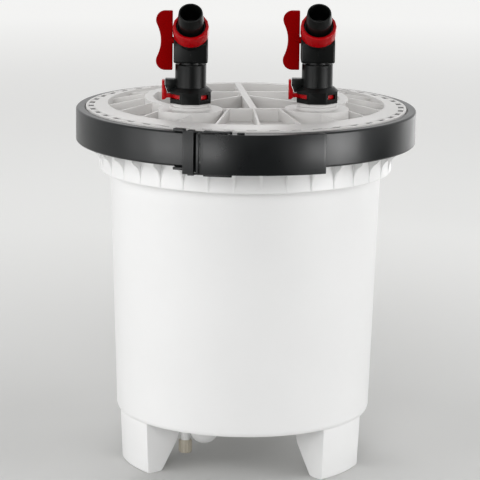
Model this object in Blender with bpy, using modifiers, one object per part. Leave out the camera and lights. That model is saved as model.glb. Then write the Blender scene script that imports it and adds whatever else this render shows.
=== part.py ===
"""Canister filter: a drum on three feet, a ribbed lid held by an over-centre clamp ring, and two angle taps.

Metres, +Z up. The origin is the middle of the base of the whole filter's box, a little in front of the
drum's axis. Sizes are measured from that axis. The taps' hose ends look towards -Y.
Angles are in degrees, measured about Z from -Y towards +X.
"""
import math

import bmesh
import bpy
from mathutils import Matrix

# Clearances
GAP = 0.0003
RUNNING_GAP = 0.0005

# Facets round a full turn
DRUM_SIDES = 48
LATCH_SIDES = 90
TRAY_SIDES = 20
TAP_SIDES = 16
PIPE_SIDES = 16
PIN_SIDES = 10

# Drum
FOOT_HEIGHT = 0.0634
BARREL_TOP_RADIUS = 0.1635
BARREL_TAPER = 0.0090
BARREL_FOOT_RADIUS = BARREL_TOP_RADIUS - BARREL_TAPER
WALL = 0.0040
FLOOR_RECESS = 0.0086
FLOOR_THICKNESS = 0.0050
LEDGE_HEIGHT = 0.0130
LEDGE_WIDTH = 0.0070
COLLAR_BOTTOM = 0.3590
COLLAR_STEP = 0.0125
COLLAR_RADIUS = BARREL_TOP_RADIUS + COLLAR_STEP
FLANGE_REACH = 0.0240
FLANGE_RADIUS = COLLAR_RADIUS + FLANGE_REACH
FLANGE_BOTTOM = 0.3968
FLANGE_THICKNESS = 0.0142
FIN_COUNT = 36
FIN_FIRST = 0.3
FIN_THICKNESS = 0.0030
FIN_REACH = 0.0150
FIN_START = 0.0010
FIN_CURVE = ((0.02, 0.0), (0.12, 0.28), (0.28, 0.50), (0.72, 0.68), (1.0, 0.86))
FOOT_COUNT = 3
FOOT_ANGLE = 31.0
FOOT_FIRST = 60.0
FOOT_INSET = 0.0030
FOOT_LEAN = 0.0030
FOOT_PAD = 0.0210
FOOT_SLOPE_RUN = 0.0245
FOOT_SLOPE_RISE = 0.0360
DRUM_TURN = -10.0

# Drain under the drum
SUMP_CENTRE = (-0.0405, -0.0700)
SUMP_RADIUS = 0.0168
SUMP_BOTTOM = 0.0310
SUMP_WALL = 0.0035
SPOUT_CENTRE = (-0.0635, -0.0690)
SPOUT_RADIUS = 0.0057
SPOUT_BORE = 0.0032
SPOUT_BOTTOM = 0.0225
CAP_WALL = 0.0013
CAP_HEIGHT = 0.0161
CAP_FLOOR = 0.0020
CAP_RIBS = 10
CAP_RIB_HEIGHT = 0.0010
DRAIN_WASHER = 0.0014

# Seal between drum and lid
SEAL_THICKNESS = 0.0024
SEAL_WIDTH = 0.0090
SEAL_INSET = 0.0050

# Lid
LID_RIM_RADIUS = FLANGE_RADIUS
LID_RIM_TOP = 0.4287
LID_RIM_WIDTH = 0.0078
LID_BEAD_WIDTH = 0.0032
LID_BEAD_TOP = 0.4309
GROOVE_WIDTH = 0.0055
GROOVE_DEPTH = 0.0026
BAND_WIDTH = 0.0171
BAND_OUTER_TOP = 0.4325
BAND_INNER_TOP = 0.4381
RECESS_FLOOR = 0.4306
LID_PLATE = 0.0045
PLATEAU = 0.4454
SKIRT_DEPTH = 0.0260
SKIRT_WALL = 0.0040
SKIRT_CLEARANCE = 0.0008
RIM_POCKET_INSET = 0.0160
RIM_POCKET_TOP = 0.4245
RING_RIB_OUTER = 0.1225
RING_RIB_INNER = 0.1115
RADIAL_RIBS = 20
RADIAL_RIB_WIDTH = 0.0030
CHORD_RIB_WIDTH = 0.0040
SPINE_RIB_WIDTH = 0.0084
CROSS_RIB_Y = 0.0440
CROSS_RIB_WIDTH = 0.0034
BRACE_ROOT_Y = 0.0170
BRACE_WIDTH = 0.0034

# Tap seats on the lid
HUB_X = 0.0742
HUB_Y = -0.0912
HUB_RADIUS = 0.0375
SEAT_STEP_RADIUS = 0.0245
SEAT_STEP_TOP = 0.4485
SEAT_RADIUS = 0.0221
SEAT_TOP = 0.4527
SPIGOT_RADIUS = 0.0180
SPIGOT_TOP = 0.4650
WATERWAY = 0.0118
TAIL_RADIUS = 0.0160
TAIL_BOTTOM = 0.4120

# Clamp ring
CLAMP_TURN = -21.7
CLAMP_WALL = 0.0040
CLAMP_CLEARANCE = 0.0008
CLAMP_RADIUS = FLANGE_RADIUS + CLAMP_CLEARANCE + CLAMP_WALL
CLAMP_BOTTOM = 0.3925
CLAMP_TOP = 0.4330
CLAMP_LIP = 0.0119
CLAMP_EDGE = 0.0018
CLAMP_END_ANGLE = 2.1
TONGUE_END_ANGLE = -1.7
TONGUE_THICKNESS = 0.0016
HINGE_END_ANGLE = 1.3
HINGE_ROOT_ANGLE = 2.6
PIN_RADIUS = 0.0025
KNUCKLE_WALL = 0.0017
HINGE_KNUCKLE_HEIGHT = 0.0120

# Latch, angles within the clamp ring
LEVER_PIVOT_ANGLE = 2.1
LINK_PIVOT_ANGLE = 11.0
LEVER_START_ANGLE = 1.05
LEVER_END_ANGLE = 41.2
LEVER_GROOVE_START = 1.9
LEVER_GROOVE_END = 2.45
LEVER_GROOVE_DEPTH = 0.0010
LEVER_STOP_START = 13.5
LEVER_STOP_END = 15.8
LEVER_STOP_HEIGHT = 0.0022
LEVER_BOTTOM = 0.3875
LEVER_TOP = 0.4340
LEVER_SKIN = 0.0025
LEVER_FLANGE_START = 5.2
LEVER_FLANGE = 0.0025
LEVER_KNUCKLE_HEIGHT = 0.0160
LUG_HEIGHT = 0.0070
ARM_WEB = 0.0012
ARM_THICKNESS = 0.0025
ARM_DEPTH = 0.0070
ARM_START_ANGLE = 3.1
PLATE_START_ANGLE = -3.65
PLATE_END_ANGLE = 0.05
PLATE_EAR_ANGLE = -2.0
PLATE_THICKNESS = 0.0030
HOOK_THICKNESS = 0.0020
HOOK_SLACK = 0.0022
CATCH_HEIGHT = 0.0040
CATCH_WIDTH = 0.0030
BRACKET_START_ANGLE = -7.5
BRACKET_STRIP_ANGLE = -4.1
BRACKET_END_ANGLE = -1.5
BRACKET_SKIN = 0.0015
BRACKET_TAB = 0.0035

# Taps, lengths along each tap's own axes
TAP_TURN = -5.5
UNION_ACROSS_FLATS = 0.0473
UNION_BOTTOM = 0.4530
UNION_PRISM_TOP = 0.4666
UNION_TOP = 0.4710
UNION_CAVITY_TOP = 0.4690
UNION_CAVITY_RADIUS = 0.0200
WINDOW_BOTTOM = 0.4575
WINDOW_TOP = 0.4640
WINDOW_WIDTH = 0.0120
LOCK_GROOVE_RADIUS = 0.0222
LOCK_RING_WALL = 0.0013
LOCK_TAB_RADIUS = 0.0292
LOCK_TAB_THICKNESS = 0.0037
LOCK_TAB_WIDTH = 0.0100
LOCK_TAB_TOP = 0.4790
LOCK_TRAVEL = 0.0044
LOCK_TAB_BOTTOM = 0.4560
SLEEVE_RADIUS = 0.0182
SLEEVE_TOP = 0.4976
SLEEVE_FLANGE_RADIUS = 0.0197
SLEEVE_FLANGE = 0.0030
LUG_REACH = 0.0280
LUG_TOE = 0.0016
LUG_TOE_BOTTOM = 0.4650
LUG_WIDTH = 0.0110
LUG_TOP = 0.4805
NECK_RADIUS = 0.0140
NECK_SOCKET_DEPTH = 0.0180
TAP_RING_DEPTH = 0.0160
TAP_RING_HEIGHT = 0.0024
VALVE_BOTTOM = 0.5003
BALL_HEIGHT = 0.5251
VALVE_WIDTH = 0.0396
VALVE_DEPTH = 0.0350
VALVE_SHOULDER = 0.0060
VALVE_EDGE = 0.0030
VALVE_FACE_STEP = 0.0004
DOME_RADIUS = 0.0174
OUTLET_TILT = 45.0
OUTLET_RADIUS = 0.0205
OUTLET_SHOULDER = 0.0112
OUTLET_NECK_RADIUS = 0.0167
OUTLET_NECK_END = 0.0255
OUTLET_SOCKET_RADIUS = 0.0148
OUTLET_SOCKET_DEPTH = 0.0030
NUT_START = 0.0115
NUT_END = 0.0280
NUT_RADIUS = 0.0202
NUT_RIBS = 16
NUT_RIB_DEPTH = 0.0008
BARB_END = 0.0485
BARB_STEP = 0.0310
BARB_TIP_RADIUS = 0.0150
BARB_SHOULDER_RADIUS = 0.0158
BARB_NECK_RADIUS = 0.0142
BARB_BORE = 0.0125
BALL_RADIUS = 0.0140
BALL_GAP = 0.0009
CHAMBER_TURN = 5.0
STEM_RADIUS = 0.0040
KEY_HALF_LENGTH = 0.0346
KEY_LOBE_RADIUS = 0.0108
KEY_REACH = 0.0407
KEY_WAIST = 0.0350
KEY_THICKNESS = 0.0075

# Trays and filter media
TRAY_CLEARANCE = 0.0030
TRAY_RADIUS = BARREL_FOOT_RADIUS - WALL - TRAY_CLEARANCE
TRAY_HEIGHT = 0.0697
TRAY_WALL = 0.0030
TRAY_COUNT = 3
TRAY_SLOTS = 4
TRAY_SLOT_START = 0.0300
TRAY_SLOT_END = 0.0880
TRAY_SLOT_WIDTH = 0.0120
MEDIA_HEIGHT = 0.0600
MEDIA_CLEARANCE = 0.0006

# Intake pipe
PIPE_RADIUS = 0.0140
PIPE_BORE = 0.0115
PIPE_BOTTOM = 0.0950

# Pump under the lid
PUMP_CENTRE = (0.0300, 0.0200)
PUMP_RADIUS = 0.0450
PUMP_BOTTOM = 0.3075
PUMP_SHOULDER = 0.0050
CHAMBER_RADIUS = 0.0300
CHAMBER_HEIGHT = 0.0220
COVER_THICKNESS = 0.0030
COVER_RADIUS = 0.0360
PUMP_INTAKE_RADIUS = 0.0110
ROTOR_RADIUS = 0.0110
ROTOR_LENGTH = 0.0480
BLADE_COUNT = 6
BLADE_RADIUS = 0.0260
BLADE_HEIGHT = 0.0120
BLADE_THICKNESS = 0.0020
SHAFT_RADIUS = 0.0020
OUTLET_PIPE_HEIGHT = 0.3225
PORT_RADIUS = 0.0110
PORT_WALL = 0.0025
PORT_LENGTH = 0.0060

# Colours
WHITE = (0.86, 0.86, 0.85)
WARM_WHITE = (0.78, 0.77, 0.75)
CHARCOAL = (0.035, 0.038, 0.042)
BLACK = (0.012, 0.014, 0.013)
DARK_RED = (0.32, 0.0, 0.003)
BRIGHT_RED = (0.50, 0.0, 0.006)
BEIGE = (0.52, 0.48, 0.38)
STEEL = (0.60, 0.60, 0.60)
RUBBER = (0.02, 0.02, 0.02)
BLUE_FOAM = (0.05, 0.13, 0.30)
WHITE_FOAM = (0.75, 0.75, 0.72)
CERAMIC = (0.62, 0.55, 0.45)
GREY = (0.25, 0.26, 0.28)


def clear_scene():
    for thing in list(bpy.data.objects):
        bpy.data.objects.remove(thing, do_unlink=True)


def new_collection(name):
    group = bpy.data.collections.new(name)
    bpy.context.scene.collection.children.link(group)
    return group


clear_scene()
PARTS = new_collection("canister_filter")
CUTTERS = new_collection("cutters")


def at_angle(angle, radius, height):
    """Point at an angle from -Y towards +X."""
    turn = math.radians(angle)
    return (radius * math.sin(turn), -radius * math.cos(turn), height)


def link_mesh(name, mesh, group):
    thing = bpy.data.objects.new(name, mesh)
    group.objects.link(thing)
    if group is CUTTERS:
        thing.hide_render = True
        thing.display_type = "WIRE"
    return thing


def finish_mesh(shape, name, group):
    """Write a bmesh as an object whose faces point out."""
    bmesh.ops.recalc_face_normals(shape, faces=shape.faces)
    mesh = bpy.data.meshes.new(name)
    shape.to_mesh(mesh)
    shape.free()
    return link_mesh(name, mesh, group)


def block(name, low, high, group=CUTTERS):
    shape = bmesh.new()
    size = [high[i] - low[i] for i in range(3)]
    middle = [(high[i] + low[i]) / 2 for i in range(3)]
    place = Matrix.Translation(middle) @ Matrix.Diagonal((*size, 1.0))
    bmesh.ops.create_cube(shape, size=1.0, matrix=place)
    return finish_mesh(shape, name, group)


def rod(name, radius, low, high, sides=PIPE_SIDES, centre=(0.0, 0.0), top_radius=None, group=CUTTERS):
    """A cylinder, or a cone, standing on its centre."""
    shape = bmesh.new()
    place = Matrix.Translation((centre[0], centre[1], (low + high) / 2))
    bmesh.ops.create_cone(
        shape, cap_ends=True, segments=sides, radius1=radius,
        radius2=radius if top_radius is None else top_radius, depth=high - low, matrix=place,
    )
    return finish_mesh(shape, name, group)


def ball(name, radius, sides, group=CUTTERS):
    shape = bmesh.new()
    bmesh.ops.create_uvsphere(shape, u_segments=sides, v_segments=sides // 2, radius=radius)
    return finish_mesh(shape, name, group)


def settle(thing):
    """Replace an object's mesh by its evaluated mesh and drop its modifiers."""
    bpy.context.view_layer.update()
    graph = bpy.context.evaluated_depsgraph_get()
    mesh = bpy.data.meshes.new_from_object(thing.evaluated_get(graph), depsgraph=graph)
    thing.modifiers.clear()
    thing.data = mesh
    return thing


def turned(name, profile, sides=DRUM_SIDES, group=CUTTERS):
    """Turn an outline of (radius, height) about Z; it runs down its outer side and up its inner side."""
    mesh = bpy.data.meshes.new(name)
    points = [(radius, 0.0, height) for radius, height in profile]
    open_ends = profile[0][0] == 0.0 and profile[-1][0] == 0.0
    edges = [(i, i + 1) for i in range(len(points) - 1)]
    if not open_ends:
        edges.append((len(points) - 1, 0))
    mesh.from_pydata(points, edges, [])
    thing = link_mesh(name, mesh, group)
    screw = thing.modifiers.new("turn", "SCREW")
    screw.axis = "Z"
    screw.steps = sides
    screw.render_steps = sides
    screw.use_merge_vertices = True
    screw.merge_threshold = 0.00001
    return settle(thing)


def plate(name, outline, low, high, group=CUTTERS):
    """A flat outline of (x, y) points, given thickness from low to high."""
    curve = bpy.data.curves.new(name, "CURVE")
    curve.dimensions = "2D"
    curve.fill_mode = "BOTH"
    curve.extrude = (high - low) / 2
    spline = curve.splines.new("POLY")
    spline.points.add(len(outline) - 1)
    for point, (x, y) in zip(spline.points, outline):
        point.co = (x, y, 0.0, 1.0)
    spline.use_cyclic_u = True
    return curve_to_mesh(name, curve, group, Matrix.Translation((0.0, 0.0, (low + high) / 2)))


def curve_to_mesh(name, curve, group, place=None):
    """Make a curve a closed mesh with welded caps."""
    source = bpy.data.objects.new(name + "_curve", curve)
    CUTTERS.objects.link(source)
    bpy.context.view_layer.update()
    graph = bpy.context.evaluated_depsgraph_get()
    mesh = bpy.data.meshes.new_from_object(source.evaluated_get(graph), depsgraph=graph)
    bpy.data.objects.remove(source, do_unlink=True)
    shape = bmesh.new()
    shape.from_mesh(mesh)
    bmesh.ops.remove_doubles(shape, verts=shape.verts, dist=0.000005)
    if place is not None:
        shape.transform(place)
    return finish_mesh(shape, name, group)


def sector(name, start, end, radius, low, high, group=CUTTERS):
    """A pie slice between two angles."""
    steps = max(1, math.ceil((end - start) / 30.0))
    outline = [(0.0, 0.0)]
    for i in range(steps + 1):
        outline.append(at_angle(start + (end - start) * i / steps, radius, 0.0)[:2])
    return plate(name, outline, low, high, group)


def joined(name, things, group=CUTTERS):
    """Gather objects that don't touch into one object."""
    shape = bmesh.new()
    for thing in things:
        mesh = thing.data.copy()
        mesh.transform(thing.matrix_basis)
        shape.from_mesh(mesh)
        bpy.data.objects.remove(thing, do_unlink=True)
    return finish_mesh(shape, name, group)


def combine(target, operation, *others):
    for other in others:
        change = target.modifiers.new(other.name, "BOOLEAN")
        change.operation = operation
        change.solver = "EXACT"
        change.object = other
    return target


def finish(thing, colour, roughness, metallic=0.0):
    """Settle the shape, give it its material and shade its round faces smooth."""
    settle(thing)
    material = bpy.data.materials.new(thing.name + "_finish")
    material.use_nodes = True
    shader = material.node_tree.nodes["Principled BSDF"]
    shader.inputs["Base Color"].default_value = (*colour, 1.0)
    shader.inputs["Roughness"].default_value = roughness
    shader.inputs["Metallic"].default_value = metallic
    thing.data.materials.clear()
    thing.data.materials.append(material)
    thing.data.shade_smooth()
    thing.data.set_sharp_from_angle(angle=math.radians(32.0))
    return thing


def part(name, thing):
    """Move a finished shape into the object's own collection under its name."""
    for group in list(thing.users_collection):
        group.objects.unlink(thing)
    PARTS.objects.link(thing)
    thing.name = name
    thing.hide_render = False
    thing.display_type = "TEXTURED"
    return thing


def twin(name, thing, parent):
    """The same piece again, on another parent."""
    copy = bpy.data.objects.new(name, thing.data)
    PARTS.objects.link(copy)
    copy.matrix_basis = thing.matrix_basis.copy()
    copy.parent = parent
    return copy


def pivot(name, place=(0.0, 0.0, 0.0), turn=0.0, parent=None, tilt=0.0):
    """An empty on a joint's axis."""
    empty = bpy.data.objects.new(name, None)
    PARTS.objects.link(empty)
    empty.location = place
    empty.rotation_euler = (math.radians(tilt), 0.0, math.radians(turn))
    empty.parent = parent
    return empty


# Sizes that follow from the ones above
FLANGE_TOP = FLANGE_BOTTOM + FLANGE_THICKNESS
FLOOR_UNDERSIDE = FOOT_HEIGHT + FLOOR_RECESS
FLOOR_TOP = FLOOR_UNDERSIDE + FLOOR_THICKNESS
LEDGE_TOP = FLOOR_TOP + LEDGE_HEIGHT
MOUTH_RADIUS = COLLAR_RADIUS - WALL
LID_BEAD_OUTER = LID_RIM_RADIUS - LID_RIM_WIDTH
LID_BEAD_INNER = LID_BEAD_OUTER - LID_BEAD_WIDTH
BAND_OUTER = LID_BEAD_INNER - GROOVE_WIDTH
BAND_INNER = BAND_OUTER - BAND_WIDTH
LID_RIM_BOTTOM = FLANGE_TOP + SEAL_THICKNESS + 2 * GAP
LID_UNDERSIDE = RECESS_FLOOR - LID_PLATE
KNUCKLE_RADIUS = PIN_RADIUS + KNUCKLE_WALL
PIN_CIRCLE = CLAMP_RADIUS + GAP + KNUCKLE_RADIUS
LEVER_INNER = PIN_CIRCLE + KNUCKLE_RADIUS + GAP
LEVER_OUTER = LEVER_INNER + LEVER_SKIN
CLAMP_MIDDLE = (CLAMP_BOTTOM + CLAMP_TOP) / 2
AXIS_SETBACK = (LEVER_OUTER - CLAMP_RADIUS) / 2
REACH = 2 * LEVER_OUTER
VALVE_TOP = BALL_HEIGHT + VALVE_SHOULDER
KEY_INNER = NUT_RADIUS + NUT_RIB_DEPTH + GAP


def wall_radius(height):
    """Outer radius of the tapered barrel."""
    share = (height - FOOT_HEIGHT) / (COLLAR_BOTTOM - FOOT_HEIGHT)
    return BARREL_FOOT_RADIUS + share * (BARREL_TOP_RADIUS - BARREL_FOOT_RADIUS)


def make_fins():
    """Gussets between collar and flange; each one's free edge swings out in an S as it rises."""
    fins = []
    foot = COLLAR_BOTTOM + FIN_START
    rise = FLANGE_BOTTOM - foot
    root = COLLAR_RADIUS - WALL / 2
    outline = [(root, FLANGE_BOTTOM + GAP), (root, foot)]
    outline += [(COLLAR_RADIUS + FIN_REACH * out, foot + rise * up) for out, up in FIN_CURVE]
    outline.append((COLLAR_RADIUS + FIN_REACH, FLANGE_BOTTOM + GAP))
    upright = Matrix.Rotation(math.radians(90.0), 4, "X")
    for i in range(FIN_COUNT):
        fin = plate("fin", outline, -FIN_THICKNESS / 2, FIN_THICKNESS / 2)
        turn = math.radians(FIN_FIRST) + math.tau * i / FIN_COUNT
        fin.matrix_basis = Matrix.Rotation(turn, 4, "Z") @ upright
        fins.append(fin)
    return joined("fins", fins)


def make_feet():
    """Three wedge-shaped feet: a curved outer wall on a pad, sloping up inwards to the floor."""
    top_radius = wall_radius(FOOT_HEIGHT) - FOOT_INSET
    bottom_radius = top_radius - FOOT_LEAN
    slope_foot = bottom_radius - FOOT_PAD
    slope_knee = slope_foot - FOOT_SLOPE_RUN
    profile = [
        (top_radius, FLOOR_UNDERSIDE + FLOOR_THICKNESS / 2),
        (top_radius, FOOT_HEIGHT),
        (bottom_radius, 0.0),
        (slope_foot, 0.0),
        (slope_knee, FOOT_SLOPE_RISE),
        (slope_knee - FOOT_SLOPE_RUN / 2, FLOOR_UNDERSIDE + FLOOR_THICKNESS / 2),
    ]
    feet = turned("feet", profile)
    slices = []
    for i in range(FOOT_COUNT):
        middle = FOOT_FIRST + i * 360.0 / FOOT_COUNT
        slices.append(sector("foot_slice", middle - FOOT_ANGLE / 2, middle + FOOT_ANGLE / 2, REACH, -WALL,
                             FLOOR_TOP + WALL))
    keep = slices[0]
    feet_cut = combine(feet, "INTERSECT", merge_slices(keep, slices[1:]))
    return settle(feet_cut)


def merge_slices(first, rest):
    """Join pie slices that meet at the axis by taking a core out of them."""
    for piece in [first, *rest]:
        combine(piece, "DIFFERENCE", rod("core", 0.02, -0.1, 0.2, sides=12))
        settle(piece)
    return joined("slices", [first, *rest])


def make_tank():
    """Tapered barrel with a recessed floor and three feet, a wider collar, a finned flange and a drain sump."""
    inner_foot = wall_radius(FLOOR_TOP) - WALL
    profile = [
        (FLANGE_RADIUS, FLANGE_TOP),
        (FLANGE_RADIUS, FLANGE_BOTTOM),
        (COLLAR_RADIUS, FLANGE_BOTTOM),
        (COLLAR_RADIUS, COLLAR_BOTTOM),
        (BARREL_TOP_RADIUS, COLLAR_BOTTOM),
        (wall_radius(FOOT_HEIGHT + WALL), FOOT_HEIGHT + WALL),
        (BARREL_FOOT_RADIUS - WALL / 3, FOOT_HEIGHT),
        (BARREL_FOOT_RADIUS - WALL * 1.5, FOOT_HEIGHT),
        (BARREL_FOOT_RADIUS - WALL * 1.8, FLOOR_UNDERSIDE),
        (0.0, FLOOR_UNDERSIDE),
        (0.0, FLOOR_TOP),
        (inner_foot - LEDGE_WIDTH, FLOOR_TOP),
        (inner_foot - LEDGE_WIDTH, LEDGE_TOP),
        (wall_radius(LEDGE_TOP) - WALL, LEDGE_TOP),
        (BARREL_TOP_RADIUS - WALL, COLLAR_BOTTOM + WALL),
        (MOUTH_RADIUS, COLLAR_BOTTOM + WALL),
        (MOUTH_RADIUS, FLANGE_TOP),
    ]
    floor_index = profile.index((0.0, FLOOR_TOP))
    tank = turned("tank", profile[floor_index:] + profile[:floor_index], group=CUTTERS)
    sump = turned("sump", [
        (0.0, SUMP_BOTTOM), (0.0, FLOOR_UNDERSIDE + FLOOR_THICKNESS / 2),
        (SUMP_RADIUS, FLOOR_UNDERSIDE + FLOOR_THICKNESS / 2),
        (SUMP_RADIUS, SUMP_BOTTOM + SUMP_RADIUS * 0.80),
        (SUMP_RADIUS * 0.86, SUMP_BOTTOM + SUMP_RADIUS * 0.30),
        (SUMP_RADIUS * 0.50, SUMP_BOTTOM + SUMP_RADIUS * 0.05),
    ], sides=PIPE_SIDES)
    sump.location = (*SUMP_CENTRE, 0.0)
    spout = rod("spout", SPOUT_RADIUS, SPOUT_BOTTOM, FLOOR_UNDERSIDE + FLOOR_THICKNESS / 2, centre=SPOUT_CENTRE)
    web_low = (SPOUT_CENTRE[0], SPOUT_CENTRE[1] - SPOUT_RADIUS / 2, SUMP_BOTTOM + SUMP_RADIUS)
    web_high = (SUMP_CENTRE[0], SPOUT_CENTRE[1] + SPOUT_RADIUS / 2, FLOOR_UNDERSIDE + FLOOR_THICKNESS / 2)
    web = block("spout_web", web_low, web_high)
    combine(tank, "UNION", make_fins(), make_feet(), sump, spout, web)
    well = rod("sump_well", SUMP_RADIUS - SUMP_WALL, SUMP_BOTTOM + SUMP_RADIUS * 0.5, FLOOR_TOP + 0.01,
               centre=SUMP_CENTRE)
    bore = rod("spout_bore", SPOUT_BORE, SPOUT_BOTTOM - 0.01, FLOOR_TOP + 0.01, sides=PIN_SIDES,
               centre=SPOUT_CENTRE)
    combine(tank, "DIFFERENCE", well, bore)
    finish(tank, WHITE, 0.28)
    tank.parent = pivot("drum_frame", turn=DRUM_TURN)
    return part("tank", tank)


def make_drain(frame):
    """Ribbed screw cap on the drain spout, with a washer inside."""
    cap_top = SPOUT_BOTTOM - GAP - DRAIN_WASHER - GAP - CAP_FLOOR + CAP_HEIGHT
    cap_bottom = cap_top - CAP_HEIGHT
    inner = SPOUT_RADIUS + GAP
    outer = inner + CAP_WALL
    outline = []
    for i in range(CAP_RIBS):
        outline.append(at_angle(i * 360.0 / CAP_RIBS, outer, 0.0)[:2])
        outline.append(at_angle((i + 0.5) * 360.0 / CAP_RIBS, outer + CAP_RIB_HEIGHT, 0.0)[:2])
    cap = plate("drain_cap", outline, cap_bottom, cap_top)
    combine(cap, "DIFFERENCE", rod("cap_bore", inner, cap_bottom + CAP_FLOOR, cap_top + 0.01))
    finish(cap, BEIGE, 0.45)
    axis = pivot("drain_axis", place=(*SPOUT_CENTRE, 0.0), parent=frame)
    part("drain_cap", cap).parent = axis
    washer_bottom = cap_bottom + CAP_FLOOR + GAP
    washer = turned("drain_washer", [
        (SPOUT_RADIUS, washer_bottom + DRAIN_WASHER), (SPOUT_RADIUS, washer_bottom),
        (SPOUT_BORE, washer_bottom), (SPOUT_BORE, washer_bottom + DRAIN_WASHER),
    ], sides=PIN_SIDES)
    finish(washer, RUBBER, 0.7)
    part("drain_washer", washer).parent = axis


def make_seal():
    low = FLANGE_TOP + GAP
    outer = FLANGE_RADIUS - SEAL_INSET
    inner = outer - SEAL_WIDTH
    seal = turned("lid_seal", [
        (outer, low + SEAL_THICKNESS), (outer, low), (inner, low), (inner, low + SEAL_THICKNESS),
    ])
    finish(seal, RUBBER, 0.7)
    part("lid_seal", seal)


def bar(name, start, end, width, low, high):
    """A straight rib between two (x, y) points."""
    length = math.dist(start, end)
    shape = block(name, (0.0, -width / 2, low), (length, width / 2, high))
    turn = math.atan2(end[1] - start[1], end[0] - start[0])
    shape.data.transform(Matrix.Translation((*start, 0.0)) @ Matrix.Rotation(turn, 4, "Z"))
    return shape


def radial_rib(index):
    """A sloping rib from the ring rib, or from the chord rib, out to the band."""
    angle = index * 360.0 / RADIAL_RIBS
    lean = (angle + 180.0) % 360.0 - 180.0
    chord = abs(lean) < 20.0
    start = -HUB_Y / math.cos(math.radians(lean)) if chord else (RING_RIB_OUTER + RING_RIB_INNER) / 2
    end = BAND_INNER + RADIAL_RIB_WIDTH * 0.6
    sunk = RECESS_FLOOR - LID_PLATE / 2
    outline = [(start, sunk), (end, sunk), (end, BAND_INNER_TOP - RADIAL_RIB_WIDTH), (start, PLATEAU - GAP)]
    width = SPINE_RIB_WIDTH if index == RADIAL_RIBS // 2 else RADIAL_RIB_WIDTH
    rib = plate("radial_rib", outline, -width / 2, width / 2)
    upright = Matrix.Rotation(math.radians(90.0), 4, "X")
    rib.matrix_basis = Matrix.Rotation(math.radians(angle - 90.0), 4, "Z") @ upright
    return rib


def make_lid():
    """Ribbed lid: a sloped outer band, a recess with ribs up to one level, and two tap seats."""
    skirt_outer = MOUTH_RADIUS - SKIRT_CLEARANCE
    skirt_bottom = LID_UNDERSIDE - SKIRT_DEPTH
    profile = [
        (0.0, LID_UNDERSIDE),
        (0.0, RECESS_FLOOR),
        (BAND_INNER - 0.0014, RECESS_FLOOR),
        (BAND_INNER, BAND_INNER_TOP),
        (BAND_OUTER, BAND_OUTER_TOP),
        (BAND_OUTER, BAND_OUTER_TOP - GROOVE_DEPTH),
        (LID_BEAD_INNER, LID_BEAD_TOP - GROOVE_DEPTH),
        (LID_BEAD_INNER, LID_BEAD_TOP),
        (LID_BEAD_OUTER, LID_BEAD_TOP),
        (LID_BEAD_OUTER, LID_RIM_TOP),
        (LID_RIM_RADIUS, LID_RIM_TOP),
        (LID_RIM_RADIUS, LID_RIM_BOTTOM),
        (LID_RIM_RADIUS - RIM_POCKET_INSET, LID_RIM_BOTTOM),
        (LID_RIM_RADIUS - RIM_POCKET_INSET, RIM_POCKET_TOP),
        (skirt_outer, RIM_POCKET_TOP),
        (skirt_outer, skirt_bottom),
        (skirt_outer - SKIRT_WALL, skirt_bottom),
        (skirt_outer - SKIRT_WALL, LID_UNDERSIDE),
    ]
    lid = turned("lid", profile)
    sunk = RECESS_FLOOR - LID_PLATE / 2
    ring = turned("ring_rib", [
        (RING_RIB_OUTER, PLATEAU), (RING_RIB_OUTER, sunk), (RING_RIB_INNER, sunk), (RING_RIB_INNER, PLATEAU),
    ], sides=TRAY_SIDES)
    hub_angle = math.degrees(math.atan2(HUB_X, -HUB_Y))
    combine(ring, "DIFFERENCE", sector("ring_gap", -hub_angle, hub_angle, REACH, 0.0, 2 * PLATEAU))
    settle(ring)
    ribs = joined("radial_ribs", [radial_rib(i) for i in range(RADIAL_RIBS)])
    hub_left = rod("hub_left", HUB_RADIUS, sunk, PLATEAU, sides=TAP_SIDES, centre=(-HUB_X, HUB_Y))
    hub_right = rod("hub_right", HUB_RADIUS, sunk, PLATEAU, sides=TAP_SIDES, centre=(HUB_X, HUB_Y))
    chord = bar("chord_rib", (-HUB_X, HUB_Y), (HUB_X, HUB_Y), CHORD_RIB_WIDTH, sunk, PLATEAU)
    ring_middle = (RING_RIB_OUTER + RING_RIB_INNER) / 2
    spine = bar("spine_rib", (0.0, HUB_Y), (0.0, ring_middle), SPINE_RIB_WIDTH, sunk, PLATEAU)
    cross_half = math.sqrt(ring_middle ** 2 - CROSS_RIB_Y ** 2)
    cross = bar("cross_rib", (-cross_half, CROSS_RIB_Y), (cross_half, CROSS_RIB_Y), CROSS_RIB_WIDTH, sunk, PLATEAU)
    root = (0.0, BRACE_ROOT_Y)
    brace_end = (HUB_X + HUB_RADIUS / 2, HUB_Y + HUB_RADIUS / 2)
    brace_left = bar("brace_left", root, (-brace_end[0], brace_end[1]), BRACE_WIDTH, sunk, PLATEAU)
    brace_right = bar("brace_right", root, brace_end, BRACE_WIDTH, sunk, PLATEAU)
    combine(lid, "UNION", ribs, ring, hub_left, hub_right, chord, spine, cross, brace_left, brace_right)
    for side in (-1, 1):
        centre = (side * HUB_X, HUB_Y)
        step = rod("seat_step", SEAT_STEP_RADIUS, sunk, SEAT_STEP_TOP, sides=TAP_SIDES, centre=centre)
        seat = rod("seat", SEAT_RADIUS, sunk, SEAT_TOP, sides=TAP_SIDES, centre=centre)
        spigot = rod("spigot", SPIGOT_RADIUS, sunk, SPIGOT_TOP, centre=centre)
        tail = rod("tail", TAIL_RADIUS, TAIL_BOTTOM, RECESS_FLOOR - 0.001, centre=centre)
        combine(lid, "UNION", step, seat, spigot, tail)
        bore = rod("waterway", WATERWAY, TAIL_BOTTOM - 0.01, SPIGOT_TOP + 0.01, centre=centre)
        combine(lid, "DIFFERENCE", bore)
    finish(lid, WARM_WHITE, 0.35)
    return part("lid", lid)


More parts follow.
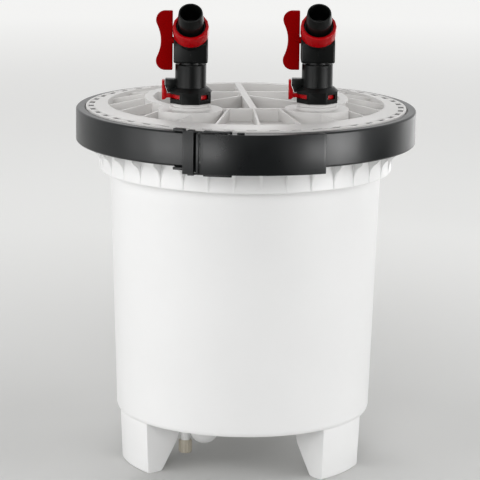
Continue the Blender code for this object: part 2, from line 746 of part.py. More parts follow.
def clamp_section():
    """Channel with two lips that grip the flange and the lid's rim together."""
    inner = CLAMP_RADIUS - CLAMP_WALL
    lip = CLAMP_RADIUS - CLAMP_LIP
    return [
        (CLAMP_RADIUS - CLAMP_EDGE, CLAMP_TOP),
        (CLAMP_RADIUS, CLAMP_TOP - CLAMP_EDGE),
        (CLAMP_RADIUS, CLAMP_BOTTOM + CLAMP_EDGE),
        (CLAMP_RADIUS - CLAMP_EDGE, CLAMP_BOTTOM),
        (lip, CLAMP_BOTTOM),
        (lip, FLANGE_BOTTOM - GAP),
        (inner, FLANGE_BOTTOM - GAP),
        (inner, LID_RIM_TOP + GAP),
        (lip, LID_RIM_TOP + GAP),
        (lip, CLAMP_TOP),
    ]


def knuckle(name, angle, low, high, root_angle):
    """A pin eye outside the ring with a root that reaches the ring's face."""
    centre = at_angle(angle, PIN_CIRCLE, 0.0)[:2]
    eye = rod(name, KNUCKLE_RADIUS, low, high, sides=PIPE_SIDES, centre=centre)
    foot = at_angle(root_angle, CLAMP_RADIUS - CLAMP_WALL / 2, 0.0)[:2]
    shank = bar(name + "_root", centre, foot, KNUCKLE_RADIUS * 1.4, low, high)
    return eye, shank


def make_clamp_half(name, side, frame):
    """Half of the ring, with hinge eyes at the back. The right one has the lever's eye and a tongue in front."""
    half = turned(name, clamp_section())
    front = CLAMP_END_ANGLE
    back = 180.0 - HINGE_END_ANGLE
    start, end = (front, back) if side > 0 else (-back, -front)
    combine(half, "INTERSECT", sector(name + "_span", start, end, REACH, 0.0, 2 * CLAMP_TOP))
    eye_third = HINGE_KNUCKLE_HEIGHT
    if side > 0:
        spans = [(CLAMP_MIDDLE - eye_third / 2, CLAMP_MIDDLE + eye_third / 2)]
    else:
        low = CLAMP_MIDDLE - eye_third / 2 - GAP
        high = CLAMP_MIDDLE + eye_third / 2 + GAP
        spans = [(CLAMP_BOTTOM + CLAMP_EDGE, low), (high, CLAMP_TOP - CLAMP_EDGE)]
    for low, high in spans:
        eye, shank = knuckle("hinge_eye", 180.0, low, high, side * (180.0 - HINGE_ROOT_ANGLE))
        combine(half, "UNION", eye, shank)
    hinge_hole = rod("hinge_hole", PIN_RADIUS + RUNNING_GAP, 0.0, 2 * CLAMP_TOP, sides=PIN_SIDES,
                     centre=(0.0, PIN_CIRCLE))
    combine(half, "DIFFERENCE", hinge_hole)
    if side > 0:
        low = CLAMP_MIDDLE - LEVER_KNUCKLE_HEIGHT / 2
        high = CLAMP_MIDDLE + LEVER_KNUCKLE_HEIGHT / 2
        eye, shank = knuckle("lever_eye", LEVER_PIVOT_ANGLE, low, high, LEVER_PIVOT_ANGLE + 1.2)
        hole = rod("lever_hole", PIN_RADIUS + RUNNING_GAP, 0.0, 2 * CLAMP_TOP, sides=PIN_SIDES,
                   centre=at_angle(LEVER_PIVOT_ANGLE, PIN_CIRCLE, 0.0)[:2])
        tongue_inner = FLANGE_RADIUS + CLAMP_CLEARANCE * 0.75
        tongue = arc_block("front_tongue", TONGUE_END_ANGLE, CLAMP_END_ANGLE + 0.4, tongue_inner,
                           tongue_inner + TONGUE_THICKNESS, CLAMP_BOTTOM + GAP, CLAMP_TOP - GAP)
        combine(half, "UNION", eye, shank, tongue)
        combine(half, "DIFFERENCE", hole)
    finish(half, CHARCOAL, 0.38)
    part(name, half).parent = frame
    return half


def make_hinge_pin(frame):
    pin = rod("clamp_hinge_pin", PIN_RADIUS, CLAMP_BOTTOM, CLAMP_TOP, sides=PIN_SIDES, centre=(0.0, PIN_CIRCLE))
    finish(pin, STEEL, 0.3, 1.0)
    part("clamp_hinge_pin", pin).parent = frame


def arc_section(name, start, end, section):
    """A piece of a ring with a given section, between two angles."""
    ring = turned(name, section, sides=LATCH_SIDES)
    combine(ring, "INTERSECT", sector(name + "_span", start, end, REACH, 0.0, 2 * CLAMP_TOP))
    return settle(ring)


def arc_block(name, start, end, inner, outer, low, high):
    return arc_section(name, start, end, [(outer, high), (outer, low), (inner, low), (inner, high)])


def channel(outer, skin, lip, low, high, flange):
    """Section of a channel that opens towards the axis."""
    return [
        (outer, high), (outer, low), (lip, low), (lip, low + flange),
        (outer - skin, low + flange), (outer - skin, high - flange), (lip, high - flange), (lip, high),
    ]


def make_catch(frame):
    """Bracket on the left end: tabs over the ring's edges, a strip down its face and a ridge for the hook."""
    inner = CLAMP_RADIUS + GAP
    outer = inner + BRACKET_SKIN
    bracket = arc_section("latch_catch", BRACKET_START_ANGLE, BRACKET_END_ANGLE, channel(
        outer, BRACKET_SKIN, CLAMP_RADIUS - CLAMP_LIP / 2, CLAMP_BOTTOM - BRACKET_TAB, CLAMP_TOP + BRACKET_TAB,
        BRACKET_TAB - GAP))
    ridge_start = hook_end_angle() + math.degrees(HOOK_SLACK / CLAMP_RADIUS)
    ridge_end = ridge_start + math.degrees(CATCH_WIDTH / CLAMP_RADIUS)
    ridge = arc_block("catch_ridge", ridge_start, ridge_end, inner + BRACKET_SKIN / 2, inner + CATCH_HEIGHT,
                      CLAMP_BOTTOM + CLAMP_EDGE, CLAMP_TOP - CLAMP_EDGE)
    tab_end = PLATE_START_ANGLE - 0.1
    past_start = BRACKET_START_ANGLE - 1.0
    past_end = BRACKET_END_ANGLE + 1.0
    trims = joined("catch_trims", [
        sector("trim_top", tab_end, past_end, REACH, CLAMP_TOP + GAP / 2, CLAMP_TOP + 2 * BRACKET_TAB),
        sector("trim_low", tab_end, past_end, REACH, CLAMP_BOTTOM - 2 * BRACKET_TAB, CLAMP_BOTTOM - GAP / 2),
        arc_block("trim_face", past_start, BRACKET_STRIP_ANGLE, inner - GAP / 2, outer + BRACKET_SKIN,
                  CLAMP_BOTTOM - GAP / 2, CLAMP_TOP + GAP / 2),
    ])
    combine(bracket, "UNION", ridge)
    combine(bracket, "DIFFERENCE", trims)
    finish(bracket, BLACK, 0.45)
    part("latch_catch", bracket).parent = frame


def hook_end_angle():
    """Angle of the hook lip's right face, which pulls on the catch's ridge."""
    return PLATE_START_ANGLE + math.degrees(HOOK_THICKNESS / CLAMP_RADIUS)


def make_lever(frame):
    """Curved channel lever with inner lugs for its pivot and holes for the link's pin."""
    inner = CLAMP_RADIUS + GAP
    skin = arc_section("latch_lever", LEVER_START_ANGLE, LEVER_END_ANGLE, channel(
        LEVER_INNER + LEVER_SKIN, LEVER_SKIN, inner, LEVER_BOTTOM, LEVER_TOP, LEVER_FLANGE))
    end = arc_block("lever_end", LEVER_END_ANGLE - 0.8, LEVER_END_ANGLE - 0.1, inner + 0.0005,
                    LEVER_INNER + LEVER_SKIN / 2, LEVER_BOTTOM + LEVER_FLANGE / 2, LEVER_TOP - LEVER_FLANGE / 2)
    clear_front = sector("flange_clear", LEVER_START_ANGLE - 1.0, LEVER_FLANGE_START, LEVER_INNER - GAP, 0.0,
                         2 * CLAMP_TOP)
    outer = LEVER_INNER + LEVER_SKIN
    groove = arc_block("lever_groove", LEVER_GROOVE_START, LEVER_GROOVE_END, outer - LEVER_GROOVE_DEPTH,
                       outer + LEVER_SKIN, CLAMP_BOTTOM - LEVER_SKIN * 3, CLAMP_TOP + LEVER_SKIN * 3)
    stop = arc_block("lever_stop", LEVER_STOP_START, LEVER_STOP_END, PIN_CIRCLE, LEVER_INNER, LEVER_TOP - GAP,
                     LEVER_TOP + LEVER_STOP_HEIGHT)
    combine(skin, "UNION", end, stop)
    combine(skin, "DIFFERENCE", clear_front, groove)
    centre = at_angle(LEVER_PIVOT_ANGLE, PIN_CIRCLE, 0.0)[:2]
    root = at_angle(LEVER_PIVOT_ANGLE, LEVER_INNER + LEVER_SKIN / 2, 0.0)[:2]
    half = LEVER_KNUCKLE_HEIGHT / 2 + GAP
    for low, high in ((CLAMP_MIDDLE + half, CLAMP_MIDDLE + half + LUG_HEIGHT),
                      (CLAMP_MIDDLE - half - LUG_HEIGHT, CLAMP_MIDDLE - half)):
        eye = rod("lever_lug", KNUCKLE_RADIUS, low, high, sides=PIPE_SIDES, centre=centre)
        shank = bar("lever_lug_root", centre, root, KNUCKLE_RADIUS * 1.4, low, high)
        combine(skin, "UNION", eye, shank)
    hole = rod("pivot_hole", PIN_RADIUS + RUNNING_GAP, CLAMP_BOTTOM, CLAMP_TOP, sides=PIN_SIDES, centre=centre)
    link_centre = at_angle(LINK_PIVOT_ANGLE, PIN_CIRCLE, 0.0)[:2]
    link_hole = rod("link_hole", PIN_RADIUS + RUNNING_GAP, 0.0, 2 * CLAMP_TOP, sides=PIN_SIDES,
                    centre=link_centre)
    combine(skin, "DIFFERENCE", hole, link_hole)
    finish(skin, CHARCOAL, 0.34)
    part("latch_lever", skin).parent = frame


def make_latch_pins(frame):
    half = LEVER_KNUCKLE_HEIGHT / 2 + GAP + LUG_HEIGHT
    pivot_pin = rod("lever_pin", PIN_RADIUS, CLAMP_MIDDLE - half, CLAMP_MIDDLE + half, sides=PIN_SIDES,
                    centre=at_angle(LEVER_PIVOT_ANGLE, PIN_CIRCLE, 0.0)[:2])
    finish(pivot_pin, STEEL, 0.3, 1.0)
    part("lever_pin", pivot_pin).parent = frame
    reach = GAP + ARM_THICKNESS
    link_pin = rod("link_pin", PIN_RADIUS, LEVER_BOTTOM - reach, LEVER_TOP + reach, sides=PIN_SIDES,
                   centre=at_angle(LINK_PIVOT_ANGLE, PIN_CIRCLE, 0.0)[:2])
    finish(link_pin, STEEL, 0.3, 1.0)
    part("link_pin", link_pin).parent = frame


def make_link(frame):
    """Draw link: two arms above and below the lever, thick at their pin, joined by the hook plate."""
    arm_inner = PIN_CIRCLE - ARM_DEPTH / 2
    arm_end = LINK_PIVOT_ANGLE + math.degrees(ARM_DEPTH / 2 / PIN_CIRCLE)
    low = LEVER_BOTTOM - GAP - ARM_THICKNESS
    high = LEVER_TOP + GAP + ARM_THICKNESS
    plate_inner = CLAMP_RADIUS + GAP + CATCH_HEIGHT + GAP
    link = arc_section("latch_link", PLATE_START_ANGLE, arm_end, channel(
        plate_inner + PLATE_THICKNESS, PLATE_THICKNESS, arm_inner, low, high, ARM_THICKNESS))
    opening = sector("link_opening", PLATE_END_ANGLE, arm_end + 2.0, REACH, low + ARM_THICKNESS - GAP / 3,
                     high - ARM_THICKNESS + GAP / 3)
    slim = ARM_THICKNESS - ARM_WEB
    waists = []
    for start, end in ((PLATE_START_ANGLE - 1.0, PLATE_EAR_ANGLE), (PLATE_END_ANGLE, ARM_START_ANGLE)):
        waists.append(sector("waist_low", start, end, REACH, low - ARM_THICKNESS, low + slim))
        waists.append(sector("waist_top", start, end, REACH, high - slim, high + ARM_THICKNESS))
    hook = arc_block("hook", PLATE_START_ANGLE + 0.06, hook_end_angle(), CLAMP_RADIUS + BRACKET_SKIN + 2 * GAP,
                     plate_inner + PLATE_THICKNESS / 2, CLAMP_BOTTOM + CLAMP_EDGE, CLAMP_TOP - CLAMP_EDGE)
    hole = rod("arm_hole", PIN_RADIUS + RUNNING_GAP, 0.0, 2 * CLAMP_TOP, sides=PIN_SIDES,
               centre=at_angle(LINK_PIVOT_ANGLE, PIN_CIRCLE, 0.0)[:2])
    combine(link, "DIFFERENCE", opening, *waists)
    combine(link, "UNION", hook)
    combine(link, "DIFFERENCE", hole)
    finish(link, BLACK, 0.40)
    part("latch_link", link).parent = frame


def make_clamp():
    frame = pivot("clamp_frame", turn=CLAMP_TURN)
    make_clamp_half("clamp_left", -1, frame)
    make_clamp_half("clamp_right", 1, frame)
    make_hinge_pin(frame)
    make_catch(frame)
    make_lever(frame)
    make_latch_pins(frame)
    make_link(frame)


def make_union_nut():
    """Octagonal nut with a cone shoulder, windows on its facets and a gap for the lock tab."""
    corner = UNION_ACROSS_FLATS / 2 / math.cos(math.pi / 8)
    nut = rod("union_nut", corner, UNION_BOTTOM, UNION_PRISM_TOP, sides=8)
    nut.data.transform(Matrix.Rotation(math.pi / 8, 4, "Z"))
    shoulder = rod("union_shoulder", corner - 0.0002, UNION_PRISM_TOP - 0.0005, UNION_TOP,
                   sides=PIPE_SIDES, top_radius=SLEEVE_RADIUS + 0.0020)
    combine(nut, "UNION", shoulder)
    cavity = rod("union_cavity", UNION_CAVITY_RADIUS, UNION_BOTTOM - 0.01, UNION_CAVITY_TOP, sides=TAP_SIDES)
    mouth = rod("union_mouth", SLEEVE_RADIUS + GAP, UNION_BOTTOM, UNION_TOP + 0.01, sides=TAP_SIDES)
    groove = rod("lock_groove", LOCK_GROOVE_RADIUS, WINDOW_BOTTOM, WINDOW_TOP, sides=TAP_SIDES)
    combine(nut, "DIFFERENCE", cavity, mouth, groove)
    reach = corner + 0.005
    for angle in (-45.0, 45.0, 135.0, -135.0):
        window = bar("window", (0.0, 0.0), at_angle(angle, reach, 0.0)[:2], WINDOW_WIDTH, WINDOW_BOTTOM + 0.0004,
                     WINDOW_TOP - 0.0004)
        combine(nut, "DIFFERENCE", window)
    tab_window = block("tab_window", (-reach, -LOCK_TAB_WIDTH / 2 - LOCK_TRAVEL, WINDOW_BOTTOM + 0.0004),
                       (0.0, LOCK_TAB_WIDTH / 2 + 0.0008, WINDOW_TOP - 0.0004))
    combine(nut, "DIFFERENCE", tab_window)
    return finish(nut, BLACK, 0.30)


def make_lock_ring():
    """Ring inside the nut's groove, with an arm out to an upright finger tab."""
    low = WINDOW_BOTTOM + 0.0004 + GAP
    high = WINDOW_TOP - 0.0004 - GAP
    outer = LOCK_GROOVE_RADIUS - 2 * GAP
    ring = turned("lock_ring", [
        (outer, high), (outer, low), (outer - LOCK_RING_WALL, low), (outer - LOCK_RING_WALL, high),
    ], sides=TAP_SIDES)
    arm_half = LOCK_TAB_WIDTH / 2 - 0.0010
    arm = block("lock_arm", (-LOCK_TAB_RADIUS - LOCK_TAB_THICKNESS / 2, -arm_half, low),
                (-outer + LOCK_RING_WALL / 2, arm_half, high))
    tab = block("lock_tab", (-LOCK_TAB_RADIUS - LOCK_TAB_THICKNESS, -LOCK_TAB_WIDTH / 2, LOCK_TAB_BOTTOM),
                (-LOCK_TAB_RADIUS, LOCK_TAB_WIDTH / 2, LOCK_TAB_TOP))
    combine(ring, "UNION", arm, tab)
    return finish(ring, BRIGHT_RED, 0.35)


def make_sleeve():
    """Lower tap sleeve: a flange held by the union nut, a socket for the tap's neck and a side lug."""
    flange_bottom = UNION_CAVITY_TOP - GAP - SLEEVE_FLANGE
    socket_floor = SLEEVE_TOP - NECK_SOCKET_DEPTH
    sleeve = turned("tap_sleeve", [
        (SLEEVE_RADIUS - 0.0008, SLEEVE_TOP),
        (SLEEVE_RADIUS, SLEEVE_TOP - 0.0008),
        (SLEEVE_RADIUS, UNION_CAVITY_TOP - GAP),
        (SLEEVE_FLANGE_RADIUS, UNION_CAVITY_TOP - GAP),
        (SLEEVE_FLANGE_RADIUS, flange_bottom),
        (WATERWAY, flange_bottom),
        (WATERWAY, socket_floor),
        (NECK_RADIUS + RUNNING_GAP, socket_floor),
        (NECK_RADIUS + RUNNING_GAP, SLEEVE_TOP),
    ], sides=TAP_SIDES)
    lug = block("sleeve_lug", (-LUG_REACH, -LUG_WIDTH / 2, UNION_TOP + GAP),
                (-SLEEVE_RADIUS + 0.0010, LUG_WIDTH / 2, LUG_TOP))
    toe = block("lug_toe", (-LUG_REACH, -LUG_WIDTH / 2, LUG_TOE_BOTTOM),
                (-LUG_REACH + LUG_TOE, LUG_WIDTH / 2, UNION_TOP + 2 * GAP))
    combine(sleeve, "UNION", lug, toe)
    return finish(sleeve, BLACK, 0.28)


def make_tap_ring():
    """Seal ring in a groove of the tap's neck."""
    low = SLEEVE_TOP - TAP_RING_DEPTH
    ring = turned("tap_ring", [
        (NECK_RADIUS, low + TAP_RING_HEIGHT), (NECK_RADIUS, low),
        (NECK_RADIUS - 0.0014, low), (NECK_RADIUS - 0.0014, low + TAP_RING_HEIGHT),
    ], sides=TAP_SIDES)
    return finish(ring, RUBBER, 0.5)


def tilted(thing):
    """Place a shape made along Z on the outlet's axis, which leaves the ball's centre."""
    thing.matrix_basis = outlet_matrix()
    return thing


def outlet_matrix():
    return Matrix.Translation((0.0, 0.0, BALL_HEIGHT)) @ Matrix.Rotation(math.radians(OUTLET_TILT), 4, "X")


def make_valve_body():
    """Block with a neck below, a tilted outlet neck above and a round chamber for the ball."""
    half_width = VALVE_WIDTH / 2
    half_depth = VALVE_DEPTH / 2
    face = (OUTLET_SHOULDER - VALVE_FACE_STEP) / math.cos(math.radians(OUTLET_TILT))
    outline = [
        (-half_depth, VALVE_BOTTOM), (half_depth, VALVE_BOTTOM), (half_depth, VALVE_TOP),
        (VALVE_SHOULDER - face, VALVE_TOP), (-half_depth, BALL_HEIGHT + face - half_depth),
    ]
    body = plate("valve_body", outline, -half_width, half_width)
    stand = Matrix.Rotation(math.radians(90.0), 4, "Z") @ Matrix.Rotation(math.radians(90.0), 4, "X")
    body.data.transform(stand)
    rounding = body.modifiers.new("edges", "BEVEL")
    rounding.width = VALVE_EDGE
    rounding.segments = 1
    rounding.limit_method = "ANGLE"
    settle(body)
    neck_bottom = SLEEVE_TOP - NECK_SOCKET_DEPTH + GAP
    neck = rod("valve_neck", NECK_RADIUS, neck_bottom, VALVE_BOTTOM + 0.004, sides=TAP_SIDES)
    barrel = tilted(rod("valve_barrel", OUTLET_RADIUS - 0.0010, 0.0, OUTLET_SHOULDER))
    dome = ball("valve_dome", DOME_RADIUS, PIPE_SIDES)
    dome.location = (0.0, 0.0, BALL_HEIGHT)
    outlet = tilted(rod("valve_outlet", OUTLET_NECK_RADIUS, -0.004, OUTLET_NECK_END, sides=TAP_SIDES))
    combine(body, "UNION", dome, neck, barrel, outlet)
    chamber = ball("valve_chamber", BALL_RADIUS + BALL_GAP, PIPE_SIDES)
    chamber.matrix_basis = (Matrix.Translation((0.0, 0.0, BALL_HEIGHT))
                            @ Matrix.Rotation(math.radians(CHAMBER_TURN), 4, "Z"))
    lower_bore = rod("lower_bore", WATERWAY, neck_bottom - 0.01, BALL_HEIGHT)
    outlet_bore = tilted(rod("outlet_bore", WATERWAY, 0.0, OUTLET_NECK_END + 0.01))
    socket = tilted(rod("barb_socket", OUTLET_SOCKET_RADIUS, OUTLET_NECK_END - OUTLET_SOCKET_DEPTH,
                        OUTLET_NECK_END + 0.01, sides=TAP_SIDES))
    stem_hole = rod("stem_hole", STEM_RADIUS + RUNNING_GAP, 0.005, half_width + 0.01, sides=PIN_SIDES)
    stem_hole.matrix_basis = (Matrix.Translation((0.0, 0.0, BALL_HEIGHT))
                              @ Matrix.Rotation(math.radians(-90.0), 4, "Y"))
    ring_low = SLEEVE_TOP - TAP_RING_DEPTH
    groove = turned("ring_groove", [
        (NECK_RADIUS + 0.002, ring_low + TAP_RING_HEIGHT + GAP), (NECK_RADIUS + 0.002, ring_low - GAP),
        (NECK_RADIUS - 0.0014 - GAP, ring_low - GAP), (NECK_RADIUS - 0.0014 - GAP, ring_low + TAP_RING_HEIGHT + GAP),
    ], sides=TAP_SIDES)
    combine(body, "DIFFERENCE", chamber, lower_bore, outlet_bore, socket, stem_hole, groove)
    return finish(body, BLACK, 0.30)


def make_valve_ball():
    """Ball with an angled waterway: straight down and out along the outlet."""
    sphere = ball("valve_ball", BALL_RADIUS, PIPE_SIDES)
    down = rod("ball_down", WATERWAY - 0.0015, -0.03, 0.0)
    out = rod("ball_out", WATERWAY - 0.0015, 0.0, 0.03)
    out.rotation_euler = (math.radians(OUTLET_TILT), 0.0, 0.0)
    combine(sphere, "DIFFERENCE", down, out)
    return finish(sphere, GREY, 0.3)


def key_outline():
    """Butterfly outline in (y, z) of the blade's plane: a straight inner edge, two lobes and a waist."""
    outline = [(-KEY_INNER, -KEY_HALF_LENGTH), (-KEY_INNER, KEY_HALF_LENGTH)]
    lobe_x = KEY_REACH - KEY_LOBE_RADIUS
    lobe_z = KEY_HALF_LENGTH - KEY_LOBE_RADIUS
    for i in range(6):
        bend = math.radians(90.0 + 120.0 * i / 5)
        outline.append((-lobe_x + KEY_LOBE_RADIUS * math.cos(bend), lobe_z + KEY_LOBE_RADIUS * math.sin(bend)))
    outline.append((-KEY_WAIST - 0.0006, 0.0060))
    outline.append((-KEY_WAIST - 0.0006, -0.0060))
    for i in range(6):
        bend = math.radians(150.0 + 120.0 * i / 5)
        outline.append((-lobe_x + KEY_LOBE_RADIUS * math.cos(bend), -lobe_z + KEY_LOBE_RADIUS * math.sin(bend)))
    return outline


def make_key():
    """Butterfly key with its stem, turning about the stem through the ball's centre."""
    blade = plate("valve_key", key_outline(), -KEY_THICKNESS / 2, KEY_THICKNESS / 2)
    blade.data.transform(Matrix.Rotation(math.radians(90.0), 4, "X"))
    edges = blade.modifiers.new("edges", "BEVEL")
    edges.width = 0.0008
    edges.segments = 1
    edges.limit_method = "ANGLE"
    edges.angle_limit = math.radians(50.0)
    settle(blade)
    stem = rod("key_stem", STEM_RADIUS, -KEY_REACH + KEY_LOBE_RADIUS, -BALL_RADIUS - GAP, sides=PIN_SIDES)
    stem.matrix_basis = Matrix.Rotation(math.radians(90.0), 4, "Y")
    combine(blade, "UNION", stem)
    return finish(blade, DARK_RED, 0.38)


def make_hose_nut():
    """Ribbed clamping nut, open at both ends."""
    outline = []
    for i in range(NUT_RIBS):
        outline.append(at_angle(i * 360.0 / NUT_RIBS, NUT_RADIUS + NUT_RIB_DEPTH, 0.0)[:2])
        outline.append(at_angle((i + 0.5) * 360.0 / NUT_RIBS, NUT_RADIUS, 0.0)[:2])
    nut = plate("hose_nut", outline, NUT_START, NUT_END)
    combine(nut, "DIFFERENCE", rod("nut_bore", OUTLET_NECK_RADIUS + GAP + RUNNING_GAP, NUT_START - 0.01, NUT_END + 0.01, sides=TAP_SIDES))
    return finish(nut, BRIGHT_RED, 0.30)


def make_barb():
    """Hose barb seated in the outlet neck."""
    foot = OUTLET_NECK_END - OUTLET_SOCKET_DEPTH + GAP
    barb = turned("hose_barb", [
        (BARB_TIP_RADIUS, BARB_END),
        (BARB_SHOULDER_RADIUS, BARB_STEP + 0.0060),
        (BARB_NECK_RADIUS, BARB_STEP),
        (BARB_NECK_RADIUS, OUTLET_NECK_END + GAP),
        (OUTLET_SOCKET_RADIUS - GAP, OUTLET_NECK_END + GAP),
        (OUTLET_SOCKET_RADIUS - GAP, foot),
        (BARB_BORE, foot),
        (BARB_BORE, BARB_END),
    ], sides=TAP_SIDES)
    return finish(barb, BLACK, 0.35)


def make_taps():
    """Two alike taps: union nut, lock ring, sleeve, swivelling valve, key, hose nut and barb."""
    kinds = {
        "union_nut": make_union_nut(),
        "lock_ring": make_lock_ring(),
        "tap_sleeve": make_sleeve(),
        "tap_ring": make_tap_ring(),
        "valve_body": make_valve_body(),
        "valve_ball": make_valve_ball(),
        "valve_key": make_key(),
        "hose_nut": make_hose_nut(),
        "hose_barb": make_barb(),
    }
    for kind, shape in kinds.items():
        part(kind + "_left", shape)
    for label, side in (("left", -1), ("right", 1)):
        frame = pivot("tap_frame_" + label, place=(side * HUB_X, HUB_Y, 0.0), turn=TAP_TURN)
        ball_centre = pivot("ball_centre_" + label, place=(0.0, 0.0, BALL_HEIGHT), parent=frame)
        outlet = pivot("outlet_axis_" + label, place=(0.0, 0.0, BALL_HEIGHT), parent=frame, tilt=OUTLET_TILT)
        homes = {
            "valve_ball": ball_centre, "valve_key": ball_centre, "hose_nut": outlet, "hose_barb": outlet,
        }
        for kind, shape in kinds.items():
            home = homes.get(kind, frame)
            if side < 0:
                shape.parent = home
            else:
                twin(kind + "_right", shape, home)


def make_trays():
    """Stacked trays with a slotted floor and a sleeve for the intake pipe, each with its medium."""
    pipe = (-HUB_X, HUB_Y)
    floor = TRAY_WALL
    tray = turned("tray", [
        (0.0, 0.0), (0.0, floor),
        (TRAY_RADIUS - TRAY_WALL, floor), (TRAY_RADIUS - TRAY_WALL, TRAY_HEIGHT),
        (TRAY_RADIUS, TRAY_HEIGHT), (TRAY_RADIUS, 0.0),
    ], sides=TRAY_SIDES)
    sleeve_outer = PIPE_RADIUS + GAP + 0.0022
    sleeve = rod("tray_sleeve", sleeve_outer, 0.0005, TRAY_HEIGHT, centre=pipe)
    combine(tray, "UNION", sleeve)
    combine(tray, "DIFFERENCE", rod("tray_hole", PIPE_RADIUS + GAP, -0.01, TRAY_HEIGHT + 0.01, centre=pipe))
    slots = []
    for i in range(TRAY_SLOTS):
        angle = (i + 0.5) * 360.0 / TRAY_SLOTS
        slot = bar("slot", at_angle(angle, TRAY_SLOT_START, 0.0)[:2], at_angle(angle, TRAY_SLOT_END, 0.0)[:2],
                   TRAY_SLOT_WIDTH, -TRAY_WALL, 2 * TRAY_WALL)
        slots.append(slot)
    combine(tray, "DIFFERENCE", joined("slots", slots))
    finish(tray, GREY, 0.45)
    tray.location = (0.0, 0.0, LEDGE_TOP + GAP)
    part("media_tray_lower", tray)
    media_radius = TRAY_RADIUS - TRAY_WALL - MEDIA_CLEARANCE
    media = rod("media", media_radius, floor + GAP, floor + MEDIA_HEIGHT, sides=TRAY_SIDES)
    pipe_space = rod("media_hole", sleeve_outer + MEDIA_CLEARANCE, 0.0, MEDIA_HEIGHT + 0.02, centre=pipe)
    combine(media, "DIFFERENCE", pipe_space)
    settle(media)
    kinds = (("lower", "coarse_sponge", BLUE_FOAM), ("middle", "fine_sponge", WHITE_FOAM),
             ("upper", "ceramic_media", CERAMIC))
    for level, (label, medium, colour) in enumerate(kinds[:TRAY_COUNT]):
        lift = (0.0, 0.0, LEDGE_TOP + GAP + level * (TRAY_HEIGHT + GAP))
        if level > 0:
            twin("media_tray_" + label, tray, None).location = lift
        pad = link_mesh(medium, media.data.copy(), PARTS)
        finish(pad, colour, 0.9)
        pad.location = lift
    bpy.data.objects.remove(media, do_unlink=True)


def make_intake_pipe():
    """Pipe from under the intake tap down to the space below the trays."""
    top = TAIL_BOTTOM + 0.0100
    socket = TAIL_RADIUS + GAP
    pipe = turned("intake_pipe", [
        (socket + 0.0025, top),
        (socket + 0.0025, TAIL_BOTTOM - 0.0060),
        (PIPE_RADIUS, TAIL_BOTTOM - 0.0120),
        (PIPE_RADIUS, PIPE_BOTTOM),
        (PIPE_BORE, PIPE_BOTTOM),
        (PIPE_BORE, TAIL_BOTTOM - GAP),
        (socket, TAIL_BOTTOM - GAP),
        (socket, top),
    ], sides=PIPE_SIDES)
    pipe.location = (-HUB_X, HUB_Y, 0.0)
    finish(pipe, WHITE, 0.4)
    part("intake_pipe", pipe)


def outlet_port():
    """Direction and distance from the pump's axis to the outlet tap's axis."""
    run = (HUB_X - PUMP_CENTRE[0], HUB_Y - PUMP_CENTRE[1])
    return math.atan2(run[1], run[0]), math.hypot(*run)


